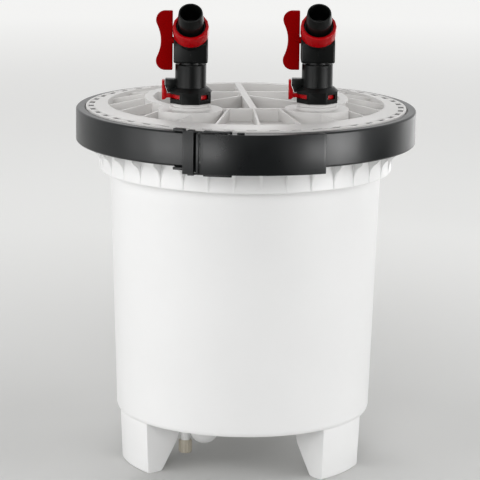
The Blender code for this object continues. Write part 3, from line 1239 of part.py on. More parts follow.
def make_pump():
    """Pump under the lid: housing, cover, impeller on its shaft and the pipe up to the outlet tap."""
    cover_top = PUMP_BOTTOM + COVER_THICKNESS
    chamber_low = cover_top + GAP
    chamber_top = chamber_low + CHAMBER_HEIGHT
    well_top = chamber_top + ROTOR_LENGTH
    shaft_top = well_top + 0.0040
    housing_top = LID_UNDERSIDE - GAP
    housing = turned("pump_housing", [
        (0.0, shaft_top), (0.0, housing_top),
        (PUMP_RADIUS - PUMP_SHOULDER, housing_top), (PUMP_RADIUS, housing_top - PUMP_SHOULDER),
        (PUMP_RADIUS, chamber_low), (CHAMBER_RADIUS, chamber_low),
        (CHAMBER_RADIUS, chamber_top),
        (ROTOR_RADIUS + RUNNING_GAP * 2, chamber_top), (ROTOR_RADIUS + RUNNING_GAP * 2, well_top),
        (SHAFT_RADIUS + RUNNING_GAP, well_top), (SHAFT_RADIUS + RUNNING_GAP, shaft_top),
    ], sides=TRAY_SIDES)
    angle, distance = outlet_port()
    port = rod("port", PORT_RADIUS, CHAMBER_RADIUS + 0.0040, PUMP_RADIUS + PORT_LENGTH)
    port_bore = rod("port_bore", PORT_RADIUS - PORT_WALL, CHAMBER_RADIUS - 0.0050, PUMP_RADIUS + PORT_LENGTH + 0.01)
    sideways = Matrix.Rotation(angle, 4, "Z") @ Matrix.Rotation(math.radians(90.0), 4, "Y")
    for piece in (port, port_bore):
        piece.matrix_basis = Matrix.Translation((0.0, 0.0, OUTLET_PIPE_HEIGHT)) @ sideways
    combine(housing, "UNION", port)
    combine(housing, "DIFFERENCE", port_bore)
    finish(housing, GREY, 0.4)
    housing.location = (*PUMP_CENTRE, 0.0)
    part("pump_housing", housing)

    cover = rod("impeller_cover", COVER_RADIUS, PUMP_BOTTOM, cover_top, sides=TAP_SIDES)
    intake = turned("cover_intake", [
        (PUMP_INTAKE_RADIUS, cover_top + 0.001), (PUMP_INTAKE_RADIUS, PUMP_BOTTOM - 0.001),
        (SHAFT_RADIUS * 2.5, PUMP_BOTTOM - 0.001), (SHAFT_RADIUS * 2.5, cover_top + 0.001),
    ], sides=TAP_SIDES)
    spokes = joined("spokes", [block("spoke", (-0.013, -0.0015, PUMP_BOTTOM), (0.013, 0.0015, cover_top))])
    combine(cover, "DIFFERENCE", intake)
    combine(cover, "UNION", spokes)
    shaft_bottom = PUMP_BOTTOM + 0.0010
    combine(cover, "DIFFERENCE", rod("shaft_seat", SHAFT_RADIUS + RUNNING_GAP, shaft_bottom - GAP, cover_top + 0.01,
                                     sides=PIN_SIDES))
    finish(cover, GREY, 0.4)
    cover.location = (*PUMP_CENTRE, 0.0)
    part("impeller_cover", cover)

    rotor_top = well_top - 0.0010
    blades_low = chamber_low + 0.0030
    impeller = rod("impeller", ROTOR_RADIUS, blades_low, rotor_top, sides=PIPE_SIDES)
    plate_low = blades_low + BLADE_HEIGHT
    disc = rod("impeller_disc", BLADE_RADIUS, plate_low, plate_low + 0.0020, sides=TAP_SIDES)
    blades = joined("blades", [
        bar("blade", at_angle(i * 360.0 / BLADE_COUNT, ROTOR_RADIUS - 0.002, 0.0)[:2],
            at_angle(i * 360.0 / BLADE_COUNT + 20.0, BLADE_RADIUS, 0.0)[:2], BLADE_THICKNESS,
            blades_low, plate_low + 0.0010)
        for i in range(BLADE_COUNT)
    ])
    combine(impeller, "UNION", disc, blades)
    combine(impeller, "DIFFERENCE", rod("impeller_bore", SHAFT_RADIUS + RUNNING_GAP, blades_low - 0.01,
                                        rotor_top + 0.01, sides=PIN_SIDES))
    finish(impeller, WHITE, 0.4)
    impeller.location = (*PUMP_CENTRE, 0.0)
    part("impeller", impeller)

    shaft = rod("impeller_shaft", SHAFT_RADIUS, shaft_bottom, shaft_top - GAP, sides=PIN_SIDES)
    shaft.location = (*PUMP_CENTRE, 0.0)
    finish(shaft, CERAMIC, 0.3)
    part("impeller_shaft", shaft)
    make_outlet_pipe(angle, distance)


def swept_tube(name, points, radius):
    curve = bpy.data.curves.new(name, "CURVE")
    curve.dimensions = "3D"
    curve.bevel_depth = radius
    curve.bevel_resolution = 2
    curve.use_fill_caps = True
    spline = curve.splines.new("POLY")
    spline.points.add(len(points) - 1)
    for point, place in zip(spline.points, points):
        point.co = (*place, 1.0)
    return curve_to_mesh(name, curve, CUTTERS)


def outlet_route(angle, start, distance, start_overrun, top_overrun):
    """Along the port, round one bend and up to the tail under the outlet tap."""
    bend = 0.0260
    turn_x = distance - bend
    top = TAIL_BOTTOM - GAP + top_overrun
    route = [(start - start_overrun, OUTLET_PIPE_HEIGHT)]
    for i in range(4):
        sweep = math.radians(90.0 * i / 3)
        route.append((turn_x + bend * math.sin(sweep), OUTLET_PIPE_HEIGHT + bend * (1 - math.cos(sweep))))
    route.append((distance, top))
    return [(PUMP_CENTRE[0] + r * math.cos(angle), PUMP_CENTRE[1] + r * math.sin(angle), z) for r, z in route]


def make_outlet_pipe(angle, distance):
    start = PUMP_RADIUS + 0.0010
    pipe = swept_tube("outlet_pipe", outlet_route(angle, start, distance, 0.0, 0.0020), PIPE_RADIUS)
    collar = rod("pipe_collar", TAIL_RADIUS + GAP + 0.0025, TAIL_BOTTOM - 0.0080, TAIL_BOTTOM + 0.0100,
                 centre=(HUB_X, HUB_Y))
    combine(pipe, "UNION", collar)
    bore = swept_tube("outlet_pipe_bore", outlet_route(angle, start, distance, 0.01, 0.01), PIPE_BORE - 0.0015)
    tail_space = rod("tail_space", TAIL_RADIUS + GAP, TAIL_BOTTOM - GAP, TAIL_BOTTOM + 0.02, centre=(HUB_X, HUB_Y))
    port_space = rod("port_space", PORT_RADIUS + GAP, PUMP_RADIUS - 0.01, PUMP_RADIUS + PORT_LENGTH + GAP)
    port_space.matrix_basis = (Matrix.Translation((*PUMP_CENTRE, OUTLET_PIPE_HEIGHT))
                               @ Matrix.Rotation(angle, 4, "Z") @ Matrix.Rotation(math.radians(90.0), 4, "Y"))
    combine(pipe, "DIFFERENCE", bore, tail_space, port_space)
    finish(pipe, WHITE, 0.4)
    part("outlet_pipe", pipe)


def stand_on_centre():
    """Set the whole filter back, so that the origin is the middle of its box's base."""
    axis = pivot("drum_axis", place=(0.0, AXIS_SETBACK, 0.0))
    for thing in list(PARTS.objects):
        if thing.parent is None and thing != axis:
            thing.parent = axis


def build():
    tank = make_tank()
    make_drain(tank.parent)
    make_seal()
    make_lid()
    make_clamp()
    make_taps()
    make_trays()
    make_intake_pipe()
    make_pump()
    stand_on_centre()
    bpy.context.view_layer.update()


build()
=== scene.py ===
import math

import bmesh
import bpy
from mathutils import Matrix, Vector


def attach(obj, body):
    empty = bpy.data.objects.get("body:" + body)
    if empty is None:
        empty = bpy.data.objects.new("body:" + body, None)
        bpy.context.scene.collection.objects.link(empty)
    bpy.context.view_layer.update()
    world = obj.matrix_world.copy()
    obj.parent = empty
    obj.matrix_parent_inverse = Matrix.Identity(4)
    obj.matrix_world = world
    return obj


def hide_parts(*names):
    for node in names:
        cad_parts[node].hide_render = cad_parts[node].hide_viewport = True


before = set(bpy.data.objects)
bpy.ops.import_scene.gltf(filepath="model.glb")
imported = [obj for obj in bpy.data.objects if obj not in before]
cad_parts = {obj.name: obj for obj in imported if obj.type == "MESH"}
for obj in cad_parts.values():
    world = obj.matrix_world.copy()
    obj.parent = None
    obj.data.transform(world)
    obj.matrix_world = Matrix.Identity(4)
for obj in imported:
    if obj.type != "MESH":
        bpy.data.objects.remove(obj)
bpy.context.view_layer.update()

# ---------------------------------------------------------------------------
# Studio: a plain pale floor that runs past the view, an even sky, soft boxes at the sides and behind,
# a high sun, narrow boxes and dark cards that only reflections see, and a long lens that looks down
# a little, slightly left of square.
# ---------------------------------------------------------------------------
scene = bpy.context.scene
scene.view_settings.view_transform = "Standard"


def in_scene(name, data):
    """A new object in the scene, at the origin."""
    thing = bpy.data.objects.new(name, data)
    scene.collection.objects.link(thing)
    return thing


FRAME_PIXELS = 480.0
FOCAL_PIXELS = 2537.8
LENS_DISTANCE = 3.0948
AIM_SHIFT = -0.0054
AIM_HEIGHT = 0.2686
AXIS_SETBACK = 0.00575
lens_turn = Matrix.Rotation(math.radians(-5.5), 3, "Z")
lens_drop = math.radians(11.82)
lens_roll = math.radians(0.72)
aim = lens_turn @ Vector((AIM_SHIFT, 0.0, 0.0)) + Vector((0.0, AXIS_SETBACK, AIM_HEIGHT))
sight = lens_turn @ Vector((0.0, math.cos(lens_drop), -math.sin(lens_drop)))
level_right = lens_turn @ Vector((1.0, 0.0, 0.0))
level_up = level_right.cross(sight)
rolled_right = level_right * math.cos(lens_roll) + level_up * math.sin(lens_roll)
rolled_up = level_up * math.cos(lens_roll) - level_right * math.sin(lens_roll)
lens = bpy.data.cameras.new("lens")
lens.sensor_width = 36.0
lens.lens = lens.sensor_width * FOCAL_PIXELS / FRAME_PIXELS
lens.clip_end = 60.0
camera = in_scene("camera", lens)
turn = Matrix((rolled_right, rolled_up, -sight)).transposed().to_4x4()
camera.matrix_world = Matrix.Translation(aim - sight * LENS_DISTANCE) @ turn
scene.camera = camera


def seen(nodes, links):
    """One for a ray from the lens, a mirror or clear plastic, and nought for the light itself."""
    path = nodes.new("ShaderNodeLightPath")
    total = path.outputs["Is Camera Ray"]
    for kind in ("Is Glossy Ray", "Is Transmission Ray"):
        either = nodes.new("ShaderNodeMath")
        either.operation = "MAXIMUM"
        links.new(total, either.inputs[0])
        links.new(path.outputs[kind], either.inputs[1])
        total = either.outputs["Value"]
    return total


def ranged(nodes, links, level, low, high):
    """A level from nought to one, spread over a range."""
    spread = nodes.new("ShaderNodeMapRange")
    spread.inputs["To Min"].default_value = low
    spread.inputs["To Max"].default_value = high
    links.new(level, spread.inputs["Value"])
    return spread.outputs["Result"]


SKY_LIGHT = 0.33
SKY_SEEN = 0.85
sky = bpy.data.worlds.new("studio_sky")
scene.world = sky
sky.use_nodes = True
nodes = sky.node_tree.nodes
links = sky.node_tree.links
sky_level = ranged(nodes, links, seen(nodes, links), SKY_LIGHT, SKY_SEEN)
links.new(sky_level, nodes["Background"].inputs["Strength"])
nodes["Background"].inputs["Color"].default_value = (1.0, 1.0, 1.0, 1.0)


def area_lamp(name, width, height, power, place, turned):
    """A flat lamp that the lens itself doesn't see."""
    light = bpy.data.lights.new(name, "AREA")
    light.shape = "RECTANGLE"
    light.size = width
    light.size_y = height
    light.energy = power
    lamp = in_scene(name, light)
    lamp.location = place
    lamp.rotation_euler = turned
    lamp.visible_camera = False
    return lamp


def soft_box(name, bearing, distance, low, high, width, power):
    """An upright lamp that faces the filter, at a bearing from -Y towards +X."""
    side = math.radians(bearing)
    place = (distance * math.sin(side), -distance * math.cos(side), (low + high) / 2)
    return area_lamp(name, width, high - low, power, place, (math.radians(90.0), 0.0, side))


BOX_DISTANCE = 1.7
BOX_LOW = 0.02
BOX_HIGH = 1.5
for name, bearing, width, power in (("left_box", -67.0, 1.1, 12.0), ("right_box", 67.0, 1.1, 11.8),
                                    ("left_edge_box", -108.0, 0.9, 3.2), ("right_edge_box", 108.0, 0.9, 5.6)):
    box = soft_box(name, bearing, BOX_DISTANCE, BOX_LOW, BOX_HIGH, width, power)
    box.visible_glossy = False
GLINT_DISTANCE = 1.5
GLINT_LOW = 0.06
GLINT_HIGH = 0.42
for name, start, end, radiance in (("glint_a", -86.0, -66.0, 2.3), ("glint_b", -66.0, -42.0, 7.6),
                                   ("glint_c", -34.0, -20.0, 8.0), ("glint_d", 30.0, 46.0, 7.2),
                                   ("glint_e", 46.0, 68.0, 13.5), ("glint_f", 118.0, 170.0, 1.2)):
    width = 2 * GLINT_DISTANCE * math.tan(math.radians((end - start) / 2))
    power = radiance * math.pi * width * (GLINT_HIGH - GLINT_LOW)
    glint = soft_box(name, (start + end) / 2, GLINT_DISTANCE, GLINT_LOW, GLINT_HIGH, width, power)
    glint.visible_diffuse = False
area_lamp("back_box", 2.0, 0.9, 18.0, (0.0, 1.7, 1.9), (math.radians(-49.0), 0.0, 0.0))
sun = bpy.data.lights.new("high_light", "SUN")
sun.energy = 0.86
sun.angle = math.radians(30.0)
sun_lamp = in_scene("high_light", sun)
sun_lamp.rotation_euler = (math.radians(64.0), 0.0, math.radians(-12.0))


def new_finish(name):
    """A new material, with its nodes, its links and its main shader."""
    finish = bpy.data.materials.new(name)
    finish.use_nodes = True
    nodes = finish.node_tree.nodes
    return finish, nodes, finish.node_tree.links, nodes["Principled BSDF"]


def ramp(nodes, links, level, *stops):
    """A colour that follows a level, between stops that each have a position and a colour."""
    blend = nodes.new("ShaderNodeValToRGB")
    marks = blend.color_ramp.elements
    for i, (position, colour) in enumerate(stops):
        mark = marks[i] if i < len(marks) else marks.new(position)
        mark.position = position
        mark.color = (*colour, 1.0)
    links.new(level, blend.inputs["Fac"])
    return blend.outputs["Color"]


FLOOR_HALF = 14
GLOW_REACH = 5.0
floor_mesh = bpy.data.meshes.new("floor")
floor_mesh.from_pydata([(-FLOOR_HALF, -FLOOR_HALF, 0), (FLOOR_HALF, -FLOOR_HALF, 0),
                        (FLOOR_HALF, FLOOR_HALF, 0), (-FLOOR_HALF, FLOOR_HALF, 0)], [], [(0, 1, 2, 3)])
floor = in_scene("floor", floor_mesh)
floor_paint, nodes, links, floor_shader = new_finish("floor_paint")
floor_shader.inputs["Base Color"].default_value = (0.62, 0.62, 0.61, 1.0)
floor_shader.inputs["Roughness"].default_value = 0.85
floor_shader.inputs["Specular IOR Level"].default_value = 0.1
floor_glow = nodes.new("ShaderNodeEmission")
floor_glow.inputs["Color"].default_value = (1.0, 1.0, 0.99, 1.0)
floor_place = nodes.new("ShaderNodeTexCoord")
floor_reach = nodes.new("ShaderNodeVectorMath")
floor_reach.operation = "LENGTH"
links.new(floor_place.outputs["Object"], floor_reach.inputs[0])
floor_span = nodes.new("ShaderNodeMapRange")
floor_span.inputs["From Max"].default_value = GLOW_REACH
links.new(floor_reach.outputs["Value"], floor_span.inputs["Value"])
floor_lift = ramp(nodes, links, floor_span.outputs["Result"],
                  (0.07, (0.0, 0.0, 0.0)), (0.9, (0.60, 0.60, 0.592)), (0.28, (0.22, 0.22, 0.217)))
floor_level = nodes.new("ShaderNodeMath")
floor_level.operation = "MULTIPLY"
links.new(seen(nodes, links), floor_level.inputs[0])
links.new(floor_lift, floor_level.inputs[1])
links.new(floor_level.outputs["Value"], floor_glow.inputs["Strength"])
floor_sum = nodes.new("ShaderNodeAddShader")
links.new(floor_shader.outputs["BSDF"], floor_sum.inputs[0])
links.new(floor_glow.outputs["Emission"], floor_sum.inputs[1])
links.new(floor_sum.outputs["Shader"], nodes["Material Output"].inputs["Surface"])
floor_mesh.materials.append(floor_paint)

CARD_LIFT = 0.004
CARD_BACK = -3.25
flag_mesh = bpy.data.meshes.new("flag")
flag_mesh.from_pydata([
    (-0.25, -0.8, CARD_LIFT), (-0.9, -3.2, CARD_LIFT), (0.9, -3.2, CARD_LIFT), (0.35, -0.8, CARD_LIFT),
    (0.85, -0.22, CARD_LIFT), (3.2, -0.7, CARD_LIFT), (3.2, 0.95, CARD_LIFT), (0.85, 0.24, CARD_LIFT),
    (-1.0, CARD_BACK, CARD_LIFT), (1.0, CARD_BACK, CARD_LIFT), (1.0, CARD_BACK, 1.8), (-1.0, CARD_BACK, 1.8)],
    [], [(0, 1, 2, 3), (4, 5, 6, 7), (8, 9, 10, 11)])
flag = in_scene("flag", flag_mesh)
flag_cloth, *_, cloth_shader = new_finish("flag_cloth")
cloth_shader.inputs["Base Color"].default_value = (0.02, 0.02, 0.02, 1.0)
cloth_shader.inputs["Roughness"].default_value = 0.9
flag_mesh.materials.append(flag_cloth)
flag.visible_camera = False
flag.visible_diffuse = False
flag.visible_shadow = False
flag.visible_transmission = False

# ---------------------------------------------------------------------------
# Drum: one white moulding, a tapered barrel with a recessed floor, a collar and a wide flange.
# The outline is turned about the upright axis, and every corner has the mould's small radius.
# ---------------------------------------------------------------------------
DRUM_TURN = -10.0


def rounded(outline, cut, steps=3):
    """Round each corner of a closed outline, starting a set distance before it."""
    result = []
    count = len(outline)
    for i in range(count):
        here = Vector(outline[i])
        before = Vector(outline[i - 1])
        after = Vector(outline[(i + 1) % count])
        if here.x < 1e-7:
            result.append(tuple(here))
            continue
        reach_in = min(cut, (before - here).length * 0.45)
        reach_out = min(cut, (after - here).length * 0.45)
        start = here + (before - here).normalized() * reach_in
        end = here + (after - here).normalized() * reach_out
        for j in range(steps + 1):
            t = j / steps
            point = start * (1 - t) ** 2 + here * 2 * t * (1 - t) + end * t ** 2
            result.append(tuple(point))
    return result


def written(name, shape):
    """Write a shape as an object at the origin."""
    mesh = bpy.data.meshes.new(name)
    shape.to_mesh(mesh)
    shape.free()
    return in_scene(name, mesh)


def mesh_piece(name, shape):
    """Write a closed shape, its doubles merged and its faces pointing out."""
    bmesh.ops.remove_doubles(shape, verts=shape.verts, dist=1e-6)
    bmesh.ops.recalc_face_normals(shape, faces=shape.faces)
    return written(name, shape)


def swept(name, outline, start=0.0, end=360.0, pitch=2.0):
    """Sweep a closed outline of (radius, height) about Z, between angles from -Y towards +X."""
    shape = bmesh.new()
    full = end - start >= 360.0
    steps = max(1, round((end - start) / pitch))
    rings = []
    for i in range(steps if full else steps + 1):
        angle = math.radians(start + (end - start) * i / steps)
        rings.append([shape.verts.new((r * math.sin(angle), -r * math.cos(angle), z)) for r, z in outline])
    for i in range(steps):
        this_ring = rings[i]
        next_ring = rings[(i + 1) % len(rings)]
        for j in range(len(outline)):
            k = (j + 1) % len(outline)
            if outline[j][0] > 1e-7 or outline[k][0] > 1e-7:
                shape.faces.new((this_ring[j], this_ring[k], next_ring[k], next_ring[j]))
    if not full:
        shape.faces.new(rings[0])
        shape.faces.new(rings[-1])
    return mesh_piece(name, shape)


def settled(piece):
    """Apply a piece's modifiers to its mesh."""
    bpy.context.view_layer.update()
    graph = bpy.context.evaluated_depsgraph_get()
    mesh = bpy.data.meshes.new_from_object(piece.evaluated_get(graph), depsgraph=graph)
    piece.modifiers.clear()
    piece.data = mesh
    return piece


def edged(piece, width, segments=2, limit=35.0):
    """Give a piece's sharp edges a small radius."""
    edge = piece.modifiers.new("edge", "BEVEL")
    edge.width = width
    edge.segments = segments
    edge.limit_method = "ANGLE"
    edge.angle_limit = math.radians(limit)
    return settled(piece)


def one_piece(name, parts):
    """Gather shapes into one piece."""
    shape = bmesh.new()
    for item in parts:
        shape.from_mesh(item.data)
        bpy.data.objects.remove(item, do_unlink=True)
    return written(name, shape)


def noise(nodes, links, place, scale, detail):
    """Noise laid over a piece's own coordinates."""
    texture = nodes.new("ShaderNodeTexNoise")
    texture.inputs["Scale"].default_value = scale
    texture.inputs["Detail"].default_value = detail
    links.new(place, texture.inputs["Vector"])
    return texture.outputs["Fac"]


def bumped(nodes, links, shader, height, depth, strength):
    """Give a shader a relief of a set depth."""
    relief = nodes.new("ShaderNodeBump")
    relief.inputs["Distance"].default_value = depth
    relief.inputs["Strength"].default_value = strength
    links.new(height, relief.inputs["Height"])
    links.new(relief.outputs["Normal"], shader.inputs["Normal"])


def moulded(name, colour, roughness, mottle=0.03, grain=900.0, grain_depth=0.00002, shine=0.5):
    """Moulded plastic or rubber: a faint cloudiness, uneven gloss and a fine surface grain."""
    finish, nodes, links, shader = new_finish(name)
    place = nodes.new("ShaderNodeTexCoord").outputs["Object"]
    darker = [c * (1 - mottle) for c in colour]
    lighter = [c * (1 + mottle) for c in colour]
    cloud = noise(nodes, links, place, 9.0, 4.0)
    links.new(ramp(nodes, links, cloud, (0.3, darker), (0.7, lighter)), shader.inputs["Base Color"])
    smear = noise(nodes, links, place, 35.0, 6.0)
    gloss = ranged(nodes, links, smear, roughness - 0.05, roughness + 0.07)
    links.new(gloss, shader.inputs["Roughness"])
    bumped(nodes, links, shader, noise(nodes, links, place, grain, 2.0), grain_depth, 0.6)
    shader.inputs["Specular IOR Level"].default_value = shine
    return finish


def dressed(piece, finish, body, slot, *nodes, smooth=38.0, place=None):
    """Finish a piece: its place, its shading, its material, its body and the CAD nodes it stands for."""
    if place is not None:
        piece.data.transform(place)
    piece.data.materials.clear()
    piece.data.materials.append(finish)
    piece.data.shade_smooth()
    piece.data.set_sharp_from_angle(angle=math.radians(smooth))
    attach(piece, body)
    if nodes:
        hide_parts(*nodes)


drum_white = moulded("drum_white", (0.90, 0.90, 0.897), 0.32,
                     mottle=0.012, grain=500.0, grain_depth=0.00003, shine=0.3)
axis_place = Matrix.Translation((0.0, AXIS_SETBACK, 0.0))
drum_place = axis_place @ Matrix.Rotation(math.radians(DRUM_TURN), 4, "Z")

barrel_outline = [
    (0.0, 0.0720), (0.1473, 0.0720), (0.1485, 0.0634), (0.1532, 0.0634), (0.1546, 0.0674),
    (0.1635, 0.3590), (0.1757, 0.3590), (0.1760, 0.3603), (0.1760, 0.3968),
    (0.2000, 0.3968), (0.2000, 0.4110), (0.1720, 0.4110), (0.1720, 0.3630), (0.1595, 0.3630),
    (0.1513, 0.0900), (0.1439, 0.0900), (0.1439, 0.0770), (0.0, 0.0770),
]
barrel = swept("barrel", rounded(barrel_outline, 0.0009))

# ---------------------------------------------------------------------------
# Gussets: thin fins moulded under the flange, one every ten degrees round the drum.
# Each has a free edge that swings in an S from the collar's foot out to the flange.
# ---------------------------------------------------------------------------
FIN_COUNT = 36
FIN_FIRST = 0.3
FIN_THICKNESS = 0.0030
FIN_STEPS = 12


def between(name, near, far):
    """A solid between two like outlines that face each other."""
    shape = bmesh.new()
    near = [shape.verts.new(point) for point in near]
    far = [shape.verts.new(point) for point in far]
    shape.faces.new(near)
    shape.faces.new(list(reversed(far)))
    for i in range(len(near)):
        j = (i + 1) % len(near)
        shape.faces.new((near[j], near[i], far[i], far[j]))
    return mesh_piece(name, shape)


def standing(name, outline, thickness, edge):
    """A flat (radius, height) outline given thickness about the -Y half plane."""
    half = thickness / 2
    plate = between(name, [(-half, -r, z) for r, z in outline], [(half, -r, z) for r, z in outline])
    return edged(plate, edge)


def ring_of(name, source, count, pitch, first, finish):
    """Repeat a source shape about Z, evenly, from a first angle."""
    tree = bpy.data.node_groups.new(name + "_ring", "GeometryNodeTree")
    face = tree.interface
    face.new_socket("Geometry", in_out="INPUT", socket_type="NodeSocketGeometry")
    sizes = {}
    for label, kind in (("Count", "NodeSocketInt"), ("Pitch", "NodeSocketFloat"),
                        ("First angle", "NodeSocketFloat"), ("Shape", "NodeSocketObject"),
                        ("Finish", "NodeSocketMaterial")):
        sizes[label] = face.new_socket(label, in_out="INPUT", socket_type=kind).identifier
    face.new_socket("Geometry", in_out="OUTPUT", socket_type="NodeSocketGeometry")
    nodes = tree.nodes
    links = tree.links
    given = nodes.new("NodeGroupInput")
    result = nodes.new("NodeGroupOutput")
    line = nodes.new("GeometryNodeMeshLine")
    line.inputs["Offset"].default_value = (0.0, 0.0, 0.0)
    index = nodes.new("GeometryNodeInputIndex")
    step = nodes.new("ShaderNodeMath")
    step.operation = "MULTIPLY_ADD"
    spin = nodes.new("ShaderNodeCombineXYZ")
    shape = nodes.new("GeometryNodeObjectInfo")
    copies = nodes.new("GeometryNodeInstanceOnPoints")
    real = nodes.new("GeometryNodeRealizeInstances")
    paint = nodes.new("GeometryNodeSetMaterial")
    for giver, output, taker, into in (
            (given, "Count", line, "Count"), (index, "Index", step, 0), (given, "Pitch", step, 1),
            (given, "First angle", step, 2), (step, "Value", spin, "Z"), (given, "Shape", shape, "Object"),
            (line, "Mesh", copies, "Points"), (shape, "Geometry", copies, "Instance"),
            (spin, "Vector", copies, "Rotation"), (copies, "Instances", real, "Geometry"),
            (real, "Geometry", paint, "Geometry"), (given, "Finish", paint, "Material"),
            (paint, "Geometry", result, "Geometry")):
        links.new(giver.outputs[output], taker.inputs[into])
    holder = in_scene(name, bpy.data.meshes.new(name))
    repeat = holder.modifiers.new("ring", "NODES")
    repeat.node_group = tree
    for label, value in (("Count", count), ("Pitch", math.radians(pitch)), ("Shape", source),
                         ("First angle", math.radians(first)), ("Finish", finish)):
        repeat[sizes[label]] = value
    settled(holder)
    bpy.data.objects.remove(source, do_unlink=True)
    return holder


fin_outline = [(0.1910, 0.3972), (0.1740, 0.3972), (0.1740, 0.3602)]
swing = [Vector(p) for p in ((0.1763, 0.3602), (0.1770, 0.3880), (0.1902, 0.3790), (0.1910, 0.3917))]
for i in range(FIN_STEPS + 1):
    t = i / FIN_STEPS
    fin_outline.append(tuple(swing[0] * (1 - t) ** 3 + swing[1] * 3 * t * (1 - t) ** 2
                             + swing[2] * 3 * t ** 2 * (1 - t) + swing[3] * t ** 3))
fin = standing("fin", fin_outline, FIN_THICKNESS, 0.0006)
fins = ring_of("fins", fin, FIN_COUNT, 360.0 / FIN_COUNT, FIN_FIRST, drum_white)

# ---------------------------------------------------------------------------
# Feet: three wedges of the same moulding, set in a little from the barrel's wall.
# Each stands on a flat pad and slopes up inwards to the drum's floor.
# ---------------------------------------------------------------------------
FOOT_HALF = 15.5
foot_outline = [
    (0.1515, 0.0750), (0.1512, 0.0560), (0.1488, 0.0000), (0.1275, 0.0000), (0.1030, 0.0360),
    (0.0930, 0.0750),
]
feet = []
for middle in (60.0, 180.0, 300.0):
    foot = swept("foot", rounded(foot_outline, 0.0030), middle - FOOT_HALF, middle + FOOT_HALF)
    feet.append(edged(foot, 0.0022, 3, 40.0))

# ---------------------------------------------------------------------------
# Drain: a rounded sump under the drum's floor, with a short spout beside it, joined by a web.
# They belong to the drum's moulding and show between the front feet.
# ---------------------------------------------------------------------------
SUMP = (-0.0405, -0.0700)
SUMP_RADIUS = 0.0168
SUMP_STEPS = 8
SPOUT = (-0.0635, -0.0690)
DRAIN_TOP = 0.0745
WEB_HALF = 0.0028


def bar(radii, heights):
    """The outline of a plain bar's section, between two radii and two heights."""
    (inner, outer), (low, high) = radii, heights
    return [(inner, low), (outer, low), (outer, high), (inner, high)]


sump_outline = [(0.0, 0.0312)]
for i in range(1, SUMP_STEPS + 1):
    bend = math.radians(90.0 * i / SUMP_STEPS)
    sump_outline.append((SUMP_RADIUS * math.sin(bend), 0.0460 - 0.0148 * math.cos(bend)))
sump_outline += [(SUMP_RADIUS, DRAIN_TOP), (0.0, DRAIN_TOP)]
sump = swept("sump", sump_outline, pitch=10.0)
sump.data.transform(Matrix.Translation((*SUMP, 0.0)))
spout = swept("spout", bar((0.0032, 0.0057), (0.0225, DRAIN_TOP)), pitch=15.0)
spout.data.transform(Matrix.Translation((*SPOUT, 0.0)))


def slab(name, low, high, edge, segments=2):
    """A box between two corners, with rounded edges."""
    shape = bmesh.new()
    bmesh.ops.create_cube(shape, size=1.0)
    size = Vector(high) - Vector(low)
    middle = (Vector(high) + Vector(low)) / 2
    shape.transform(Matrix.Translation(middle) @ Matrix.Diagonal((*size, 1.0)))
    return edged(mesh_piece(name, shape), edge, segments)


web = slab("web", (SPOUT[0], SPOUT[1] - WEB_HALF, 0.0478), (SUMP[0], SPOUT[1] + WEB_HALF, DRAIN_TOP), 0.0008)
drum = one_piece("drum", [barrel, fins, *feet, sump, spout, web])
dressed(drum, drum_white, "filter", "drum", "tank", place=drum_place)

# ---------------------------------------------------------------------------
# Drain cap: an ivory plastic cap screwed on the spout, moulded with upright grip ribs.
# It turns on its own body, with a washer inside it.
# ---------------------------------------------------------------------------
cap_ivory = moulded("cap_ivory", (0.46, 0.42, 0.34), 0.42, mottle=0.06, grain=700.0)
CAP_BOTTOM = 0.0185
CAP_TOP = 0.0346
CAP_FLOOR = CAP_BOTTOM + 0.0020
CAP_RIBS = 12
cap_shell = swept("cap_shell", rounded([
    (0.0, CAP_BOTTOM), (0.0073, CAP_BOTTOM), (0.0073, CAP_TOP), (0.0060, CAP_TOP), (0.0060, CAP_FLOOR),
    (0.0, CAP_FLOOR)], 0.0006), pitch=10.0)
cap_rib = standing("cap_rib", [
    (0.0068, CAP_BOTTOM + 0.0008), (0.0081, CAP_BOTTOM + 0.0014), (0.0081, CAP_TOP - 0.0012),
    (0.0068, CAP_TOP - 0.0006)], 0.0016, 0.0004)
cap_ribs = ring_of("cap_ribs", cap_rib, CAP_RIBS, 360.0 / CAP_RIBS, 0.0, cap_ivory)
cap = one_piece("ribbed_cap", [cap_shell, cap_ribs])
dressed(cap, cap_ivory, "drain_cap", "cap", "drain_cap", place=drum_place @ Matrix.Translation((*SPOUT, 0.0)))

# ---------------------------------------------------------------------------
# Seals: soft black rubber, a flat ring pressed between flange and lid, and a washer in the drain cap.
# They stand as the CAD has them, with a rubber finish.
# ---------------------------------------------------------------------------
# The same black also colours the blocks in the lid's rim slots, and there it is painted shade.
rubber_and_slot_shade = moulded("rubber_and_slot_shade", (0.018, 0.018, 0.018), 0.62, mottle=0.2, grain=1500.0)
for name in ("lid_seal", "drain_washer"):
    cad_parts[name].material_slots[0].material = rubber_and_slot_shade

# ---------------------------------------------------------------------------
# Lid: one warm white moulding with a sloped outer band, a bead round its rim, and a ribbed recess.
# The band, the bead, the groove between them and the skirt below are turned in one outline.
# ---------------------------------------------------------------------------
lid_white = moulded("lid_white", (0.665, 0.655, 0.642), 0.40,
                    mottle=0.02, grain=600.0, grain_depth=0.00003, shine=0.25)
PLATEAU = 0.4454
RECESS = 0.4306
lid_outline = [
    (0.0, 0.4262), (0.0, RECESS), (0.1648, RECESS), (0.1664, 0.4381), (0.1833, 0.4347), (0.1833, 0.4215),
    (0.1897, 0.4215), (0.1897, 0.4347), (0.1930, 0.4347), (0.1930, 0.4287), (0.2000, 0.4287),
    (0.2000, 0.4140), (0.1815, 0.4140), (0.1815, 0.4245), (0.1712, 0.4245), (0.1712, 0.4002),
    (0.1672, 0.4002), (0.1672, 0.4262),
]
lid_body = swept("lid_body", rounded(lid_outline, 0.0007))

